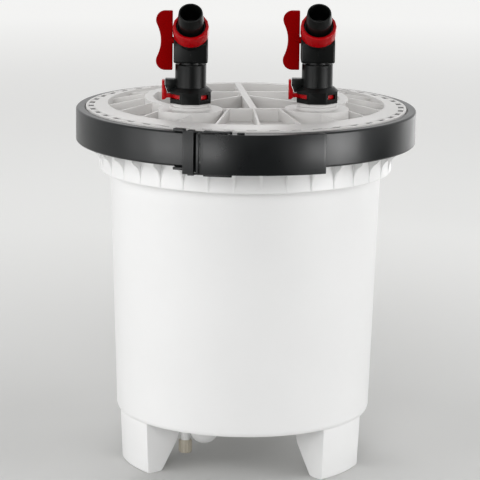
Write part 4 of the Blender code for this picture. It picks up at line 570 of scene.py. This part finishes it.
# ---------------------------------------------------------------------------
# Groove bridges: small blocks of the lid's own moulding that fill its rim groove in places
# and leave a clip slot between each and the next.
# ---------------------------------------------------------------------------
SLOT_COUNT = 45
SLOT_PITCH = 360.0 / SLOT_COUNT


def curved_bar(name, radii, heights, angles, pitch, edge=0.0004, segments=2):
    """A bar bent round Z, between two radii, two heights and two angles, with rounded edges."""
    return edged(swept(name, bar(radii, heights), *angles, pitch), edge, segments)


bridge = curved_bar("bridge", (0.1831, 0.1899), (0.4210, 0.4344), (-1.55, 2.55), 1.0)
bridges = ring_of("bridges", bridge, SLOT_COUNT, SLOT_PITCH, 0.0, lid_white)

# ---------------------------------------------------------------------------
# Slot shade: black blocks in the rubber finish, set in the clip slots of the lid's rim, one in each,
# as painted shade where the slots are dark. They end just below the bridges' tops.
# ---------------------------------------------------------------------------
# Painted shade: a black block fills each clip slot, where the slot is dark only with shade.
slot_shade_piece = swept("slot_pad", bar((0.1835, 0.1895), (0.4217, 0.4337)), 2.65, 6.35, 1.0)
slot_shade_ring = ring_of("slot_pads", slot_shade_piece, SLOT_COUNT, SLOT_PITCH, 0.0, rubber_and_slot_shade)
dressed(slot_shade_ring, rubber_and_slot_shade, "filter", "seal", place=axis_place)

# ---------------------------------------------------------------------------
# Lid ribs: of the lid's own moulding, a ring rib from tap seat to tap seat, twenty radial ribs that
# slope out to the band, straight ribs across the middle, and a short rib from each tap seat's front.
# All of them rise from the recess to one level.
# ---------------------------------------------------------------------------
HUB_X = 0.0742
HUB_Y = -0.0912
RIB_FOOT = 0.4285
RIB_END = 0.1680
RIB_END_TOP = 0.4352
RIB_PITCH = 18.0
RIB_WIDTH = 0.0030
SPINE_WIDTH = 0.0084
RING_RIB_RADIUS = 0.1170
CROSS_Y = 0.0440
BRACE_ROOT = (0.0, 0.0170)
BRACE_REACH = 0.0188
BRACE_WIDTH = 0.0034


def laid(piece, start, end):
    """Turn a piece that lies along X so that it runs from one point of the plan towards another."""
    heading = math.atan2(end[1] - start[1], end[0] - start[0])
    piece.data.transform(Matrix.Translation((*start, 0.0)) @ Matrix.Rotation(heading, 4, "Z"))
    return piece


def straight_rib(name, start, end, width, top):
    """A straight rib between two points of the recess."""
    length = math.dist(start, end)
    return laid(slab(name, (0.0, -width / 2, RIB_FOOT), (length, width / 2, top), 0.0005), start, end)


hub_angle = math.degrees(math.atan2(HUB_X, -HUB_Y))
ring_rib = swept("ring_rib", rounded(bar((0.1115, 0.1225), (RIB_FOOT, PLATEAU - 0.0001)), 0.0006),
                 hub_angle, 360.0 - hub_angle)
rib_outline = [(RING_RIB_RADIUS, RIB_FOOT), (RIB_END, RIB_FOOT), (RIB_END, RIB_END_TOP),
               (RING_RIB_RADIUS, PLATEAU - 0.0003)]
radial_ribs = [ring_of("radial_ribs", standing("radial_rib", rib_outline, RIB_WIDTH, 0.0005),
                       8, RIB_PITCH, first, lid_white) for first in (2 * RIB_PITCH, 180.0 + RIB_PITCH)]
back_rib = standing("back_rib", rib_outline, SPINE_WIDTH, 0.0005)
back_rib.data.transform(Matrix.Rotation(math.pi, 4, "Z"))
front_ribs = []
for lean in (-RIB_PITCH, 0.0, RIB_PITCH):
    root = -HUB_Y / math.cos(math.radians(lean))
    outline = [(root, RIB_FOOT), (RIB_END, RIB_FOOT), (RIB_END, RIB_END_TOP), (root, PLATEAU - 0.0004)]
    rib = standing("front_rib", outline, RIB_WIDTH, 0.0005)
    rib.data.transform(Matrix.Rotation(math.radians(lean), 4, "Z"))
    front_ribs.append(rib)
for side in (-1, 1):
    outline = [(0.0, RIB_FOOT), (0.0225, RIB_FOOT), (0.0225, 0.4366), (0.0, PLATEAU - 0.0004)]
    rib = standing("hub_rib", outline, 0.0028, 0.0005)
    heading = Matrix.Rotation(math.radians(side * 68.0), 4, "Z")
    rib.data.transform(Matrix.Translation((side * 0.0725, -0.1262, 0.0)) @ heading)
    front_ribs.append(rib)
cross_half = math.sqrt(RING_RIB_RADIUS ** 2 - CROSS_Y ** 2)
straight_ribs = [
    straight_rib("chord", (-HUB_X, HUB_Y), (HUB_X, HUB_Y), 0.0040, PLATEAU - 0.0002),
    straight_rib("spine", (0.0, HUB_Y), (0.0, 0.1172), SPINE_WIDTH, PLATEAU - 0.0004),
    straight_rib("cross", (-cross_half, CROSS_Y), (cross_half, CROSS_Y), 0.0034, PLATEAU - 0.0005),
    straight_rib("brace_left", BRACE_ROOT, (-HUB_X - BRACE_REACH, HUB_Y + BRACE_REACH),
                 BRACE_WIDTH, PLATEAU - 0.0006),
    straight_rib("brace_right", BRACE_ROOT, (HUB_X + BRACE_REACH, HUB_Y + BRACE_REACH),
                 BRACE_WIDTH, PLATEAU - 0.0006),
]

# ---------------------------------------------------------------------------
# Tap seats: a flat hub at the ribs' level, a stepped neck that carries the union nut,
# a spigot inside the nut and a tail below the lid for the pipe.
# ---------------------------------------------------------------------------
WATERWAY = 0.0118
seats = []
for side in (-1, 1):
    hub = swept("hub", rounded(bar((WATERWAY, 0.0375), (RIB_FOOT, PLATEAU)), 0.0006), pitch=5.0)
    neck = swept("neck", rounded([
        (WATERWAY, 0.4120), (0.0160, 0.4120), (0.0160, RIB_FOOT), (0.0245, RIB_FOOT), (0.0245, 0.4485),
        (0.0221, 0.4490), (0.0221, 0.4527), (0.0180, 0.4527), (0.0180, 0.4650), (WATERWAY, 0.4650)],
        0.0005), pitch=5.0)
    for item in (hub, neck):
        item.data.transform(Matrix.Translation((side * HUB_X, HUB_Y, 0.0)))
        seats.append(item)
lid = one_piece("lid_moulding", [lid_body, bridges, ring_rib, *radial_ribs, back_rib, *front_ribs,
                                 *straight_ribs, *seats])
dressed(lid, lid_white, "filter", "lid", "lid", place=axis_place)

# ---------------------------------------------------------------------------
# Clamp ring: two charcoal plastic channel halves that grip flange and lid, hinged at the back on
# a steel pin. The right half ends in front in the lever's eye and a thin tongue that backs the joint.
# ---------------------------------------------------------------------------
CLAMP_TURN = -21.7
CLAMP_RADIUS = 0.2048
CHANNEL_START = 2.1
CHANNEL_END = 178.7
CLAMP_LOW = 0.3925
CLAMP_HIGH = 0.4330
MIDDLE = 0.41275
PIN_CIRCLE = 0.2093
EYE_RADIUS = 0.0042
EYE_BORE = 0.0030
ROOT_START = 0.0028
ROOT_HALF = 0.0029
ROOT_END = 0.2028
HINGE_HALF = 0.0060
HINGE_GAP = 0.0003
HINGE_LOW = 0.3943
HINGE_HIGH = 0.4312
LEVER_PIVOT = 2.1
LEVER_EYE_HALF = 0.0080
clamp_place = axis_place @ Matrix.Rotation(math.radians(CLAMP_TURN), 4, "Z")
clamp_charcoal = moulded("clamp_charcoal", (0.0050, 0.0060, 0.0066), 0.30,
                         mottle=0.10, grain=1200.0, grain_depth=0.00003, shine=0.3)
channel = rounded([
    (0.2031, CLAMP_HIGH), (CLAMP_RADIUS, 0.4313), (CLAMP_RADIUS, 0.3942), (0.2031, CLAMP_LOW),
    (0.1929, CLAMP_LOW), (0.1929, 0.3965), (0.2008, 0.3965), (0.2008, 0.4290), (0.1943, 0.4290),
    (0.1943, CLAMP_HIGH)], 0.0007)


def spot(angle, radius):
    """Plan position of a point in the clamp ring's own frame."""
    turned = math.radians(angle)
    return (radius * math.sin(turned), -radius * math.cos(turned))


def post(name, radius, low, high, centre, bore=0.0, edge=0.0004):
    """A round post or eye."""
    piece = swept(name, rounded(bar((bore, radius), (low, high)), edge), pitch=12.0)
    piece.data.transform(Matrix.Translation((*centre, 0.0)))
    return piece


def eye(name, angle, root_end, low, high):
    """An eye on the pins' circle, and the root that joins it to its piece."""
    centre = spot(angle, PIN_CIRCLE)
    length = math.dist(centre, root_end)
    root = slab(name + "_root", (ROOT_START, -ROOT_HALF, low), (length, ROOT_HALF, high), 0.0004)
    return [post(name + "_eye", EYE_RADIUS, low, high, centre, EYE_BORE), laid(root, centre, root_end)]


for name, side in (("left", -1), ("right", 1)):
    start, end = sorted((side * CHANNEL_START, side * CHANNEL_END))
    parts = [edged(swept("channel", channel, start, end, pitch=1.5), 0.0005, 2, 60.0)]
    if side > 0:
        spans = [(MIDDLE - HINGE_HALF, MIDDLE + HINGE_HALF)]
    else:
        reach = HINGE_HALF + HINGE_GAP
        spans = [(HINGE_LOW, MIDDLE - reach), (MIDDLE + reach, HINGE_HIGH)]
    for low, high in spans:
        parts += eye("hinge", 180.0, spot(side * 177.4, ROOT_END), low, high)
    if side > 0:
        parts += eye("lever", LEVER_PIVOT, spot(3.3, ROOT_END),
                     MIDDLE - LEVER_EYE_HALF, MIDDLE + LEVER_EYE_HALF)
        parts.append(swept("front_tongue", bar((0.2006, 0.2022), (0.3868, 0.4327)), -1.7, 2.5, 0.6))
    ring_half = one_piece("ring_" + name, parts)
    dressed(ring_half, clamp_charcoal, "clamp_" + name, "clamp", "clamp_" + name, place=clamp_place)

# ---------------------------------------------------------------------------
# Pins: bright drawn steel rods at the back hinge, the lever's pivot and the link's pivot.
# Their finish is brushed along their length.
# ---------------------------------------------------------------------------
PIN_RADIUS = 0.0025
LINK_PIVOT = 11.0
LINK_LOW = 0.3847
LINK_HIGH = 0.4368
LUG_END = 0.0153
pin_steel, nodes, links, steel_shader = new_finish("pin_steel")
steel_shader.inputs["Metallic"].default_value = 1.0
steel_shader.inputs["Base Color"].default_value = (0.58, 0.58, 0.57, 1.0)
steel_place = nodes.new("ShaderNodeTexCoord")
steel_stretch = nodes.new("ShaderNodeMapping")
steel_stretch.inputs["Scale"].default_value = (1200.0, 1200.0, 20.0)
links.new(steel_place.outputs["Object"], steel_stretch.inputs["Vector"])
steel_lines = noise(nodes, links, steel_stretch.outputs["Vector"], 1.0, 2.0)
links.new(ranged(nodes, links, steel_lines, 0.22, 0.48), steel_shader.inputs["Roughness"])
for name, body, angle, low, high in (
        ("clamp_hinge_pin", "filter", 180.0, CLAMP_LOW, CLAMP_HIGH),
        ("lever_pin", "clamp_right", LEVER_PIVOT, MIDDLE - LUG_END, MIDDLE + LUG_END),
        ("link_pin", "lever", LINK_PIVOT, LINK_LOW, LINK_HIGH)):
    pin = post(name + "_rod", PIN_RADIUS, low, high, spot(angle, PIN_CIRCLE), edge=0.0005)
    dressed(pin, pin_steel, body, "steel", name, place=clamp_place)

# ---------------------------------------------------------------------------
# Catch: a black bracket clipped over the left half's end, with tabs above and below the band,
# a strip down its face and a ridge that the hook pulls on.
# ---------------------------------------------------------------------------
latch_black = moulded("latch_black", (0.0050, 0.0058, 0.0062), 0.34, mottle=0.15, grain=1400.0, shine=0.28)
PLATE_START = -3.65
HOOK_END = PLATE_START + math.degrees(0.0020 / CLAMP_RADIUS)
RIDGE = HOOK_END + math.degrees(0.0022 / CLAMP_RADIUS)
RIDGE_END = RIDGE + math.degrees(0.0030 / CLAMP_RADIUS)
HOOK_HEIGHTS = (0.3943, 0.4312)
CATCH_SKIN = (0.2051, 0.2066)
catch = one_piece("catch", [
    curved_bar("catch_tab", (0.1989, 0.2066), (0.3890, 0.3922), (-7.5, -3.75), 0.6),
    curved_bar("catch_tab", (0.1989, 0.2066), (0.4333, 0.4365), (-7.5, -3.75), 0.6),
    curved_bar("catch_strip", CATCH_SKIN, (0.3892, 0.4363), (-4.1, -3.75), 0.2),
    curved_bar("catch_face", CATCH_SKIN, (CLAMP_LOW, CLAMP_HIGH), (-3.9, -1.5), 0.6),
    curved_bar("catch_ridge", (0.2060, 0.2091), HOOK_HEIGHTS, (RIDGE, RIDGE_END), 0.4)])
dressed(catch, latch_black, "clamp_left", "latch", "latch_catch", place=clamp_place)

# ---------------------------------------------------------------------------
# Lever: a long curved cover of charcoal plastic, a channel in section, that swings out on the right
# half's eye. Two lugs behind its near end carry it, a groove crosses its face there, and its far end
# is closed.
# ---------------------------------------------------------------------------
lever_charcoal = moulded("lever_charcoal", (0.0046, 0.0056, 0.0062), 0.28,
                         mottle=0.10, grain=1200.0, grain_depth=0.00003, shine=0.3)
LEVER_END = 41.1
LUG_START = 0.0083
lever_parts = [curved_bar("lever_skin", (0.2138, 0.2146), (0.3877, 0.4338), (1.1, LEVER_END), 1.0, 0.0002)]
for start, end in ((1.05, 1.90), (2.45, LEVER_END + 0.1)):
    lever_parts.append(curved_bar("lever_face", (0.2140, 0.2163), (0.3875, 0.4340), (start, end),
                                  min(1.0, end - start), 0.0007, 3))
for heights in ((0.3876, 0.3900), (0.4315, 0.4339)):
    lever_parts.append(curved_bar("lever_rim", (0.2051, 0.2150), heights, (5.2, LEVER_END), 1.0))
lever_parts += [
    curved_bar("lever_end", (0.2056, 0.2150), (0.3890, 0.4325), (40.4, LEVER_END), 0.4, 0.0005),
    curved_bar("lever_stop", (0.2093, 0.2138), (0.4330, 0.4362), (13.5, 15.8), 0.8, 0.0006, 3)]
for low, high in ((MIDDLE + LUG_START, MIDDLE + LUG_END), (MIDDLE - LUG_END, MIDDLE - LUG_START)):
    lever_parts += eye("lug", LEVER_PIVOT, spot(LEVER_PIVOT, 0.2150), low, high)
lever = one_piece("lever_channel", lever_parts)
dressed(lever, lever_charcoal, "lever", "clamp", "latch_lever", place=clamp_place)

# ---------------------------------------------------------------------------
# Link: two flat black arms above and below the lever, thick at their pin and thin beside the plate,
# joined by an upright plate with ears, whose edge hooks the catch.
# ---------------------------------------------------------------------------
PLATE_END = 0.05
EAR_START = -2.0
ARM_INNER = 0.3872
ARM_THIN = 0.3860
LINK_FACE = 0.2124
EAR_FACE = 0.2120
BOTH_SIDES = LINK_LOW + LINK_HIGH
arm_end = LINK_PIVOT + math.degrees(0.0035 / PIN_CIRCLE)
link_parts = []
for start, heights, face in ((PLATE_START, (ARM_THIN, 0.4355), LINK_FACE),
                             (EAR_START, (LINK_LOW, 0.3875), EAR_FACE),
                             (EAR_START, (0.4340, LINK_HIGH), EAR_FACE)):
    link_parts.append(curved_bar("link_plate", (0.2094, face), heights, (start, PLATE_END), 0.5, 0.0006, 3))
for start, end, outer in ((EAR_START, PLATE_END, LINK_LOW), (PLATE_END - 0.3, 3.3, ARM_THIN),
                          (3.1, arm_end, LINK_LOW)):
    for low, high in ((outer, ARM_INNER), (BOTH_SIDES - ARM_INNER, BOTH_SIDES - outer)):
        link_parts.append(curved_bar("link_arm", (0.2058, LINK_FACE), (low, high), (start, end), 0.8))
hook = curved_bar("link_hook", (0.2069, 0.2110), HOOK_HEIGHTS, (PLATE_START + 0.06, HOOK_END), 0.3)
link = one_piece("draw_link", [*link_parts, hook])
dressed(link, latch_black, "link", "latch", "latch_link", place=clamp_place)

# ---------------------------------------------------------------------------
# Union nuts: black octagonal nuts that hold the taps' sleeves down on the lid's seats. Windows in
# their facets show the red lock ring that turns in a groove inside, the left one round a corner.
# ---------------------------------------------------------------------------
TAP_TURN = -5.5
SIDES = ("left", "right")
tap_black = moulded("tap_black", (0.0028, 0.0034, 0.0032), 0.32, mottle=0.15, shine=0.17)


def tap_place(side):
    """Where a tap stands: on its seat, turned a little to the left."""
    sign = -1 if side == "left" else 1
    seat = axis_place @ Matrix.Translation((sign * HUB_X, HUB_Y, 0.0))
    return seat @ Matrix.Rotation(math.radians(TAP_TURN), 4, "Z")


def carved(piece, cutter):
    """Cut one closed shape out of another."""
    cut = piece.modifiers.new("cut", "BOOLEAN")
    cut.operation = "DIFFERENCE"
    cut.solver = "EXACT"
    cut.object = cutter
    settled(piece)
    bpy.data.objects.remove(cutter, do_unlink=True)
    return piece


for side in SIDES:
    shape = bmesh.new()
    shape.from_mesh(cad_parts["union_nut_" + side].data)
    bmesh.ops.remove_doubles(shape, verts=shape.verts, dist=2e-6)
    bmesh.ops.dissolve_limit(shape, angle_limit=math.radians(0.8), verts=shape.verts, edges=shape.edges)
    nut = mesh_piece("octagon_nut_" + side, shape)
    opening = swept("corner_window", bar((0.0212, 0.0300), (0.4579, 0.4636)), -74.0, -52.0, 4.0)
    opening.data.transform(tap_place(side))
    nut = edged(carved(nut, opening), 0.0005, 2, 30.0)
    dressed(nut, tap_black, "filter", "tap", "union_nut_" + side, smooth=30.0)

# ---------------------------------------------------------------------------
# Lock rings: bright red plastic rings that turn in the union nuts' grooves, each with an arm out
# through the nut to an upright finger tab with a sloped foot.
# ---------------------------------------------------------------------------
nut_red = moulded("nut_red", (0.42, 0.0004, 0.0030), 0.24, mottle=0.05, shine=0.16)
LOCK_LOW = 0.4582
LOCK_HIGH = 0.4633
to_the_left = Matrix.Rotation(math.radians(-90.0), 4, "Z")
for side in SIDES:
    rim = swept("lock_rim", rounded(bar((0.0201, 0.0215), (LOCK_LOW, LOCK_HIGH)), 0.0003), pitch=5.0)
    arm = slab("lock_arm", (-0.0315, -0.0040, LOCK_LOW), (-0.0206, 0.0040, LOCK_HIGH), 0.0004)
    tab = standing("lock_tab", [
        (0.0335, 0.4560), (0.0335, 0.4790), (0.0303, 0.4790), (0.0303, 0.4725), (0.0276, 0.4645),
        (0.0276, 0.4585), (0.0303, 0.4560)], 0.0100, 0.0006)
    tab.data.transform(to_the_left)
    lock = one_piece("lock_tab_" + side, [rim, arm, tab])
    dressed(lock, nut_red, "lock_" + side, "nut", "lock_ring_" + side, smooth=30.0, place=tap_place(side))

# ---------------------------------------------------------------------------
# Sleeves: black plastic barrels above the union nuts, held down by a flange inside the nut, with
# a lug on the left, a sloped toe below it and a fine parting line front and back.
# ---------------------------------------------------------------------------
LUG_HALF = 0.0055
sleeve_outline = [
    (0.0182, 0.4687), (0.0182, 0.4976), (0.0145, 0.4976), (0.0145, 0.4796), (WATERWAY, 0.4796),
    (WATERWAY, 0.4657), (0.0197, 0.4657), (0.0197, 0.4687),
]


def parting_lines(reach, low, high):
    """The mould's fine upright lines, at a reach before and behind the middle."""
    return [slab("parting_line", (-0.0004, y - 0.0005, low), (0.0004, y + 0.0005, high), 0.0001, 1)
            for y in (-reach, reach)]


for side in SIDES:
    sleeve_barrel = swept("sleeve_barrel", rounded(sleeve_outline, 0.0008), pitch=5.0)
    lug = slab("sleeve_lug", (-0.0297, -LUG_HALF, 0.4713), (-0.0165, LUG_HALF, 0.4805), 0.0006)
    toe = standing("lug_toe", [
        (0.0266, 0.4646), (0.0296, 0.4730), (0.0190, 0.4730), (0.0200, 0.4702), (0.0242, 0.4646)],
        2 * LUG_HALF, 0.0005)
    toe.data.transform(to_the_left)
    sleeve = one_piece("sleeve_" + side, [sleeve_barrel, lug, toe, *parting_lines(0.0178, 0.4716, 0.4968)])
    dressed(sleeve, tap_black, "filter", "tap", "tap_sleeve_" + side, place=tap_place(side))

# ---------------------------------------------------------------------------
# Tap rings and balls: a rubber ring in each tap's neck, and the hard grey ball with its angled
# waterway. They stand as the CAD has them, each with its own finish.
# ---------------------------------------------------------------------------
ball_grey = moulded("ball_grey", (0.23, 0.24, 0.26), 0.30, mottle=0.05)
for side in SIDES:
    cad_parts["tap_ring_" + side].material_slots[0].material = rubber_and_slot_shade
    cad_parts["valve_ball_" + side].material_slots[0].material = ball_grey

# ---------------------------------------------------------------------------
# Valve bodies: black plastic blocks with a round chamber, a neck that turns in the sleeve
# and an outlet neck that leans forward at forty-five degrees.
# ---------------------------------------------------------------------------
BALL_HEIGHT = 0.5251
BLOCK_HALF = 0.0198
DOME_RADIUS = 0.0174
outlet_tilt = Matrix.Translation((0.0, 0.0, BALL_HEIGHT)) @ Matrix.Rotation(math.radians(45.0), 4, "X")
block_outline = [(-0.0175, 0.5003), (0.0175, 0.5003), (0.0175, 0.5311), (-0.0093, 0.5311), (-0.0175, 0.5229)]
dome_outline = []
for degrees in range(-90, 91, 6):
    bend = math.radians(degrees)
    dome_outline.append((DOME_RADIUS * math.cos(bend), BALL_HEIGHT + DOME_RADIUS * math.sin(bend)))
for side in SIDES:
    block = between("valve_block", [(-BLOCK_HALF, y, z) for y, z in block_outline],
                    [(BLOCK_HALF, y, z) for y, z in block_outline])
    edged(block, 0.0022, 4)
    neck = swept("valve_neck", rounded(bar((WATERWAY, 0.0140), (0.4799, 0.5040)), 0.0004), pitch=5.0)
    dome = swept("valve_dome", dome_outline, pitch=6.0)
    shoulder = swept("valve_shoulder", rounded([
        (0.0, 0.0), (0.0195, 0.0), (0.0195, 0.0112), (0.0167, 0.0112), (0.0167, 0.0255), (0.0148, 0.0255),
        (0.0148, 0.0225), (WATERWAY, 0.0225), (WATERWAY, 0.0150), (0.0, 0.0150)], 0.0006), pitch=5.0)
    shoulder.data.transform(outlet_tilt)
    lines = parting_lines(0.0174, 0.5020, 0.5205)
    body = one_piece("valve_" + side, [block, neck, dome, shoulder, *lines])
    dressed(body, tap_black, "tap_" + side, "tap", "valve_body_" + side, place=tap_place(side))

# ---------------------------------------------------------------------------
# Keys: dark red plastic butterfly handles with a straight inner edge, two round lobes and a waist.
# Each turns its ball through a short stem.
# ---------------------------------------------------------------------------
key_red = moulded("key_red", (0.25, 0.0002, 0.0006), 0.45, mottle=0.05, shine=0.01)
KEY_INNER = 0.0213
KEY_REACH = 0.0407
KEY_WAIST = 0.0350
KEY_HALF = 0.0346
KEY_HALF_THICK = 0.00375
KEY_STEPS = 12
LOBE = 0.0108
LOBE_BEND = 115.0


def lobe(middle, first):
    """Points round one lobe of the key, from a first angle on."""
    points = []
    for i in range(KEY_STEPS + 1):
        bend = math.radians(first + LOBE_BEND * i / KEY_STEPS)
        points.append((-KEY_REACH + LOBE + LOBE * math.cos(bend), middle + LOBE * math.sin(bend)))
    return points


key_edge = [(-KEY_INNER, -KEY_HALF), (-KEY_INNER, KEY_HALF), *lobe(KEY_HALF - LOBE, 90.0)]
lobe_end = key_edge[-1]
for i in range(1, KEY_STEPS):
    height = lobe_end[1] * (1 - 2 * i / KEY_STEPS)
    key_edge.append((-KEY_WAIST + (lobe_end[0] + KEY_WAIST) * (height / lobe_end[1]) ** 2, height))
key_edge += lobe(-KEY_HALF + LOBE, 155.0)
stem_place = Matrix.Translation((0.0, 0.0, BALL_HEIGHT)) @ Matrix.Rotation(math.radians(90.0), 4, "Y")
for side in SIDES:
    blade = between("key_blade", [(x, -KEY_HALF_THICK, BALL_HEIGHT + z) for x, z in key_edge],
                    [(x, KEY_HALF_THICK, BALL_HEIGHT + z) for x, z in key_edge])
    edged(blade, 0.0012, 4, 40.0)
    stem = swept("key_stem", rounded(bar((0.0, 0.0040), (-0.0260, -0.0143)), 0.0003), pitch=12.0)
    stem.data.transform(stem_place)
    key = one_piece("key_" + side, [blade, stem])
    dressed(key, key_red, "key_" + side, "key", "valve_key_" + side, place=tap_place(side))

# ---------------------------------------------------------------------------
# Hose nuts: bright red plastic nuts with sixteen flats, screwed on the outlet necks to clamp
# the hose on its barb.
# ---------------------------------------------------------------------------
HOSE_NUT_FLATS = 16
hose_nut_outline = [
    (0.0175, 0.0115), (0.0198, 0.0115), (0.0209, 0.0130), (0.0209, 0.0265), (0.0200, 0.0280),
    (0.0175, 0.0280),
]
for side in SIDES:
    nut = swept("hose_nut_shell", rounded(hose_nut_outline, 0.0003, 2), pitch=360.0 / HOSE_NUT_FLATS)
    edged(nut, 0.0004, 2, 15.0)
    dressed(nut, nut_red, "hose_nut_" + side, "nut", "hose_nut_" + side, smooth=12.0,
            place=tap_place(side) @ outlet_tilt)

# ---------------------------------------------------------------------------
# Hose barbs: black plastic tails seated in the outlet necks, open through, each with a ridge
# that holds the hose.
# ---------------------------------------------------------------------------
BARB_BORE = 0.0122
barb_outline = [
    (BARB_BORE, 0.0228), (0.0145, 0.0228), (0.0145, 0.0258), (0.0142, 0.0262), (0.0142, 0.0310),
    (0.0152, 0.0392), (0.0138, 0.0514), (BARB_BORE, 0.0514),
]
for side in SIDES:
    barb = swept("barb_" + side, rounded(barb_outline, 0.0006), pitch=5.0)
    dressed(barb, tap_black, "tap_" + side, "tap", "hose_barb_" + side, place=tap_place(side) @ outlet_tilt)

# ---------------------------------------------------------------------------
# Inside: grey trays with their filter media, white pipes, and the pump with its impeller.
# They stand as the CAD has them, each with its own finish.
# ---------------------------------------------------------------------------
inner_grey = moulded("inner_grey", (0.24, 0.25, 0.27), 0.40, mottle=0.06)
pipe_white = moulded("pipe_white", (0.74, 0.74, 0.73), 0.32)


def porous(name, colour, pore, depth, roughness):
    """Open foam or fired media: round cells, with painted shade in the pores."""
    finish, nodes, links, shader = new_finish(name)
    shader.inputs["Roughness"].default_value = roughness
    cells = nodes.new("ShaderNodeTexVoronoi")
    cells.inputs["Scale"].default_value = pore
    links.new(nodes.new("ShaderNodeTexCoord").outputs["Object"], cells.inputs["Vector"])
    # Painted shade: the colour is darkened to a quarter in each pore, where shade falls in the holes.
    pore_shade_colour = [c * 0.25 for c in colour]
    shade = ramp(nodes, links, cells.outputs["Distance"], (0.0, pore_shade_colour), (0.45, colour))
    links.new(shade, shader.inputs["Base Color"])
    bumped(nodes, links, shader, cells.outputs["Distance"], depth, 1.0)
    return finish


coarse_blue = porous("coarse_blue", (0.05, 0.13, 0.30), 350.0, 0.0015, 0.9)
fine_white = porous("fine_white", (0.72, 0.72, 0.69), 900.0, 0.0006, 0.9)
fired_clay = porous("fired_clay", (0.62, 0.54, 0.44), 120.0, 0.0030, 0.85)
inner_finishes = {
    "media_tray_lower": inner_grey, "media_tray_middle": inner_grey, "media_tray_upper": inner_grey,
    "coarse_sponge": coarse_blue, "fine_sponge": fine_white, "ceramic_media": fired_clay,
    "intake_pipe": pipe_white, "outlet_pipe": pipe_white, "pump_housing": inner_grey,
    "impeller_cover": inner_grey, "impeller": pipe_white, "impeller_shaft": fired_clay,
}
for name, finish in inner_finishes.items():
    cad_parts[name].material_slots[0].material = finish
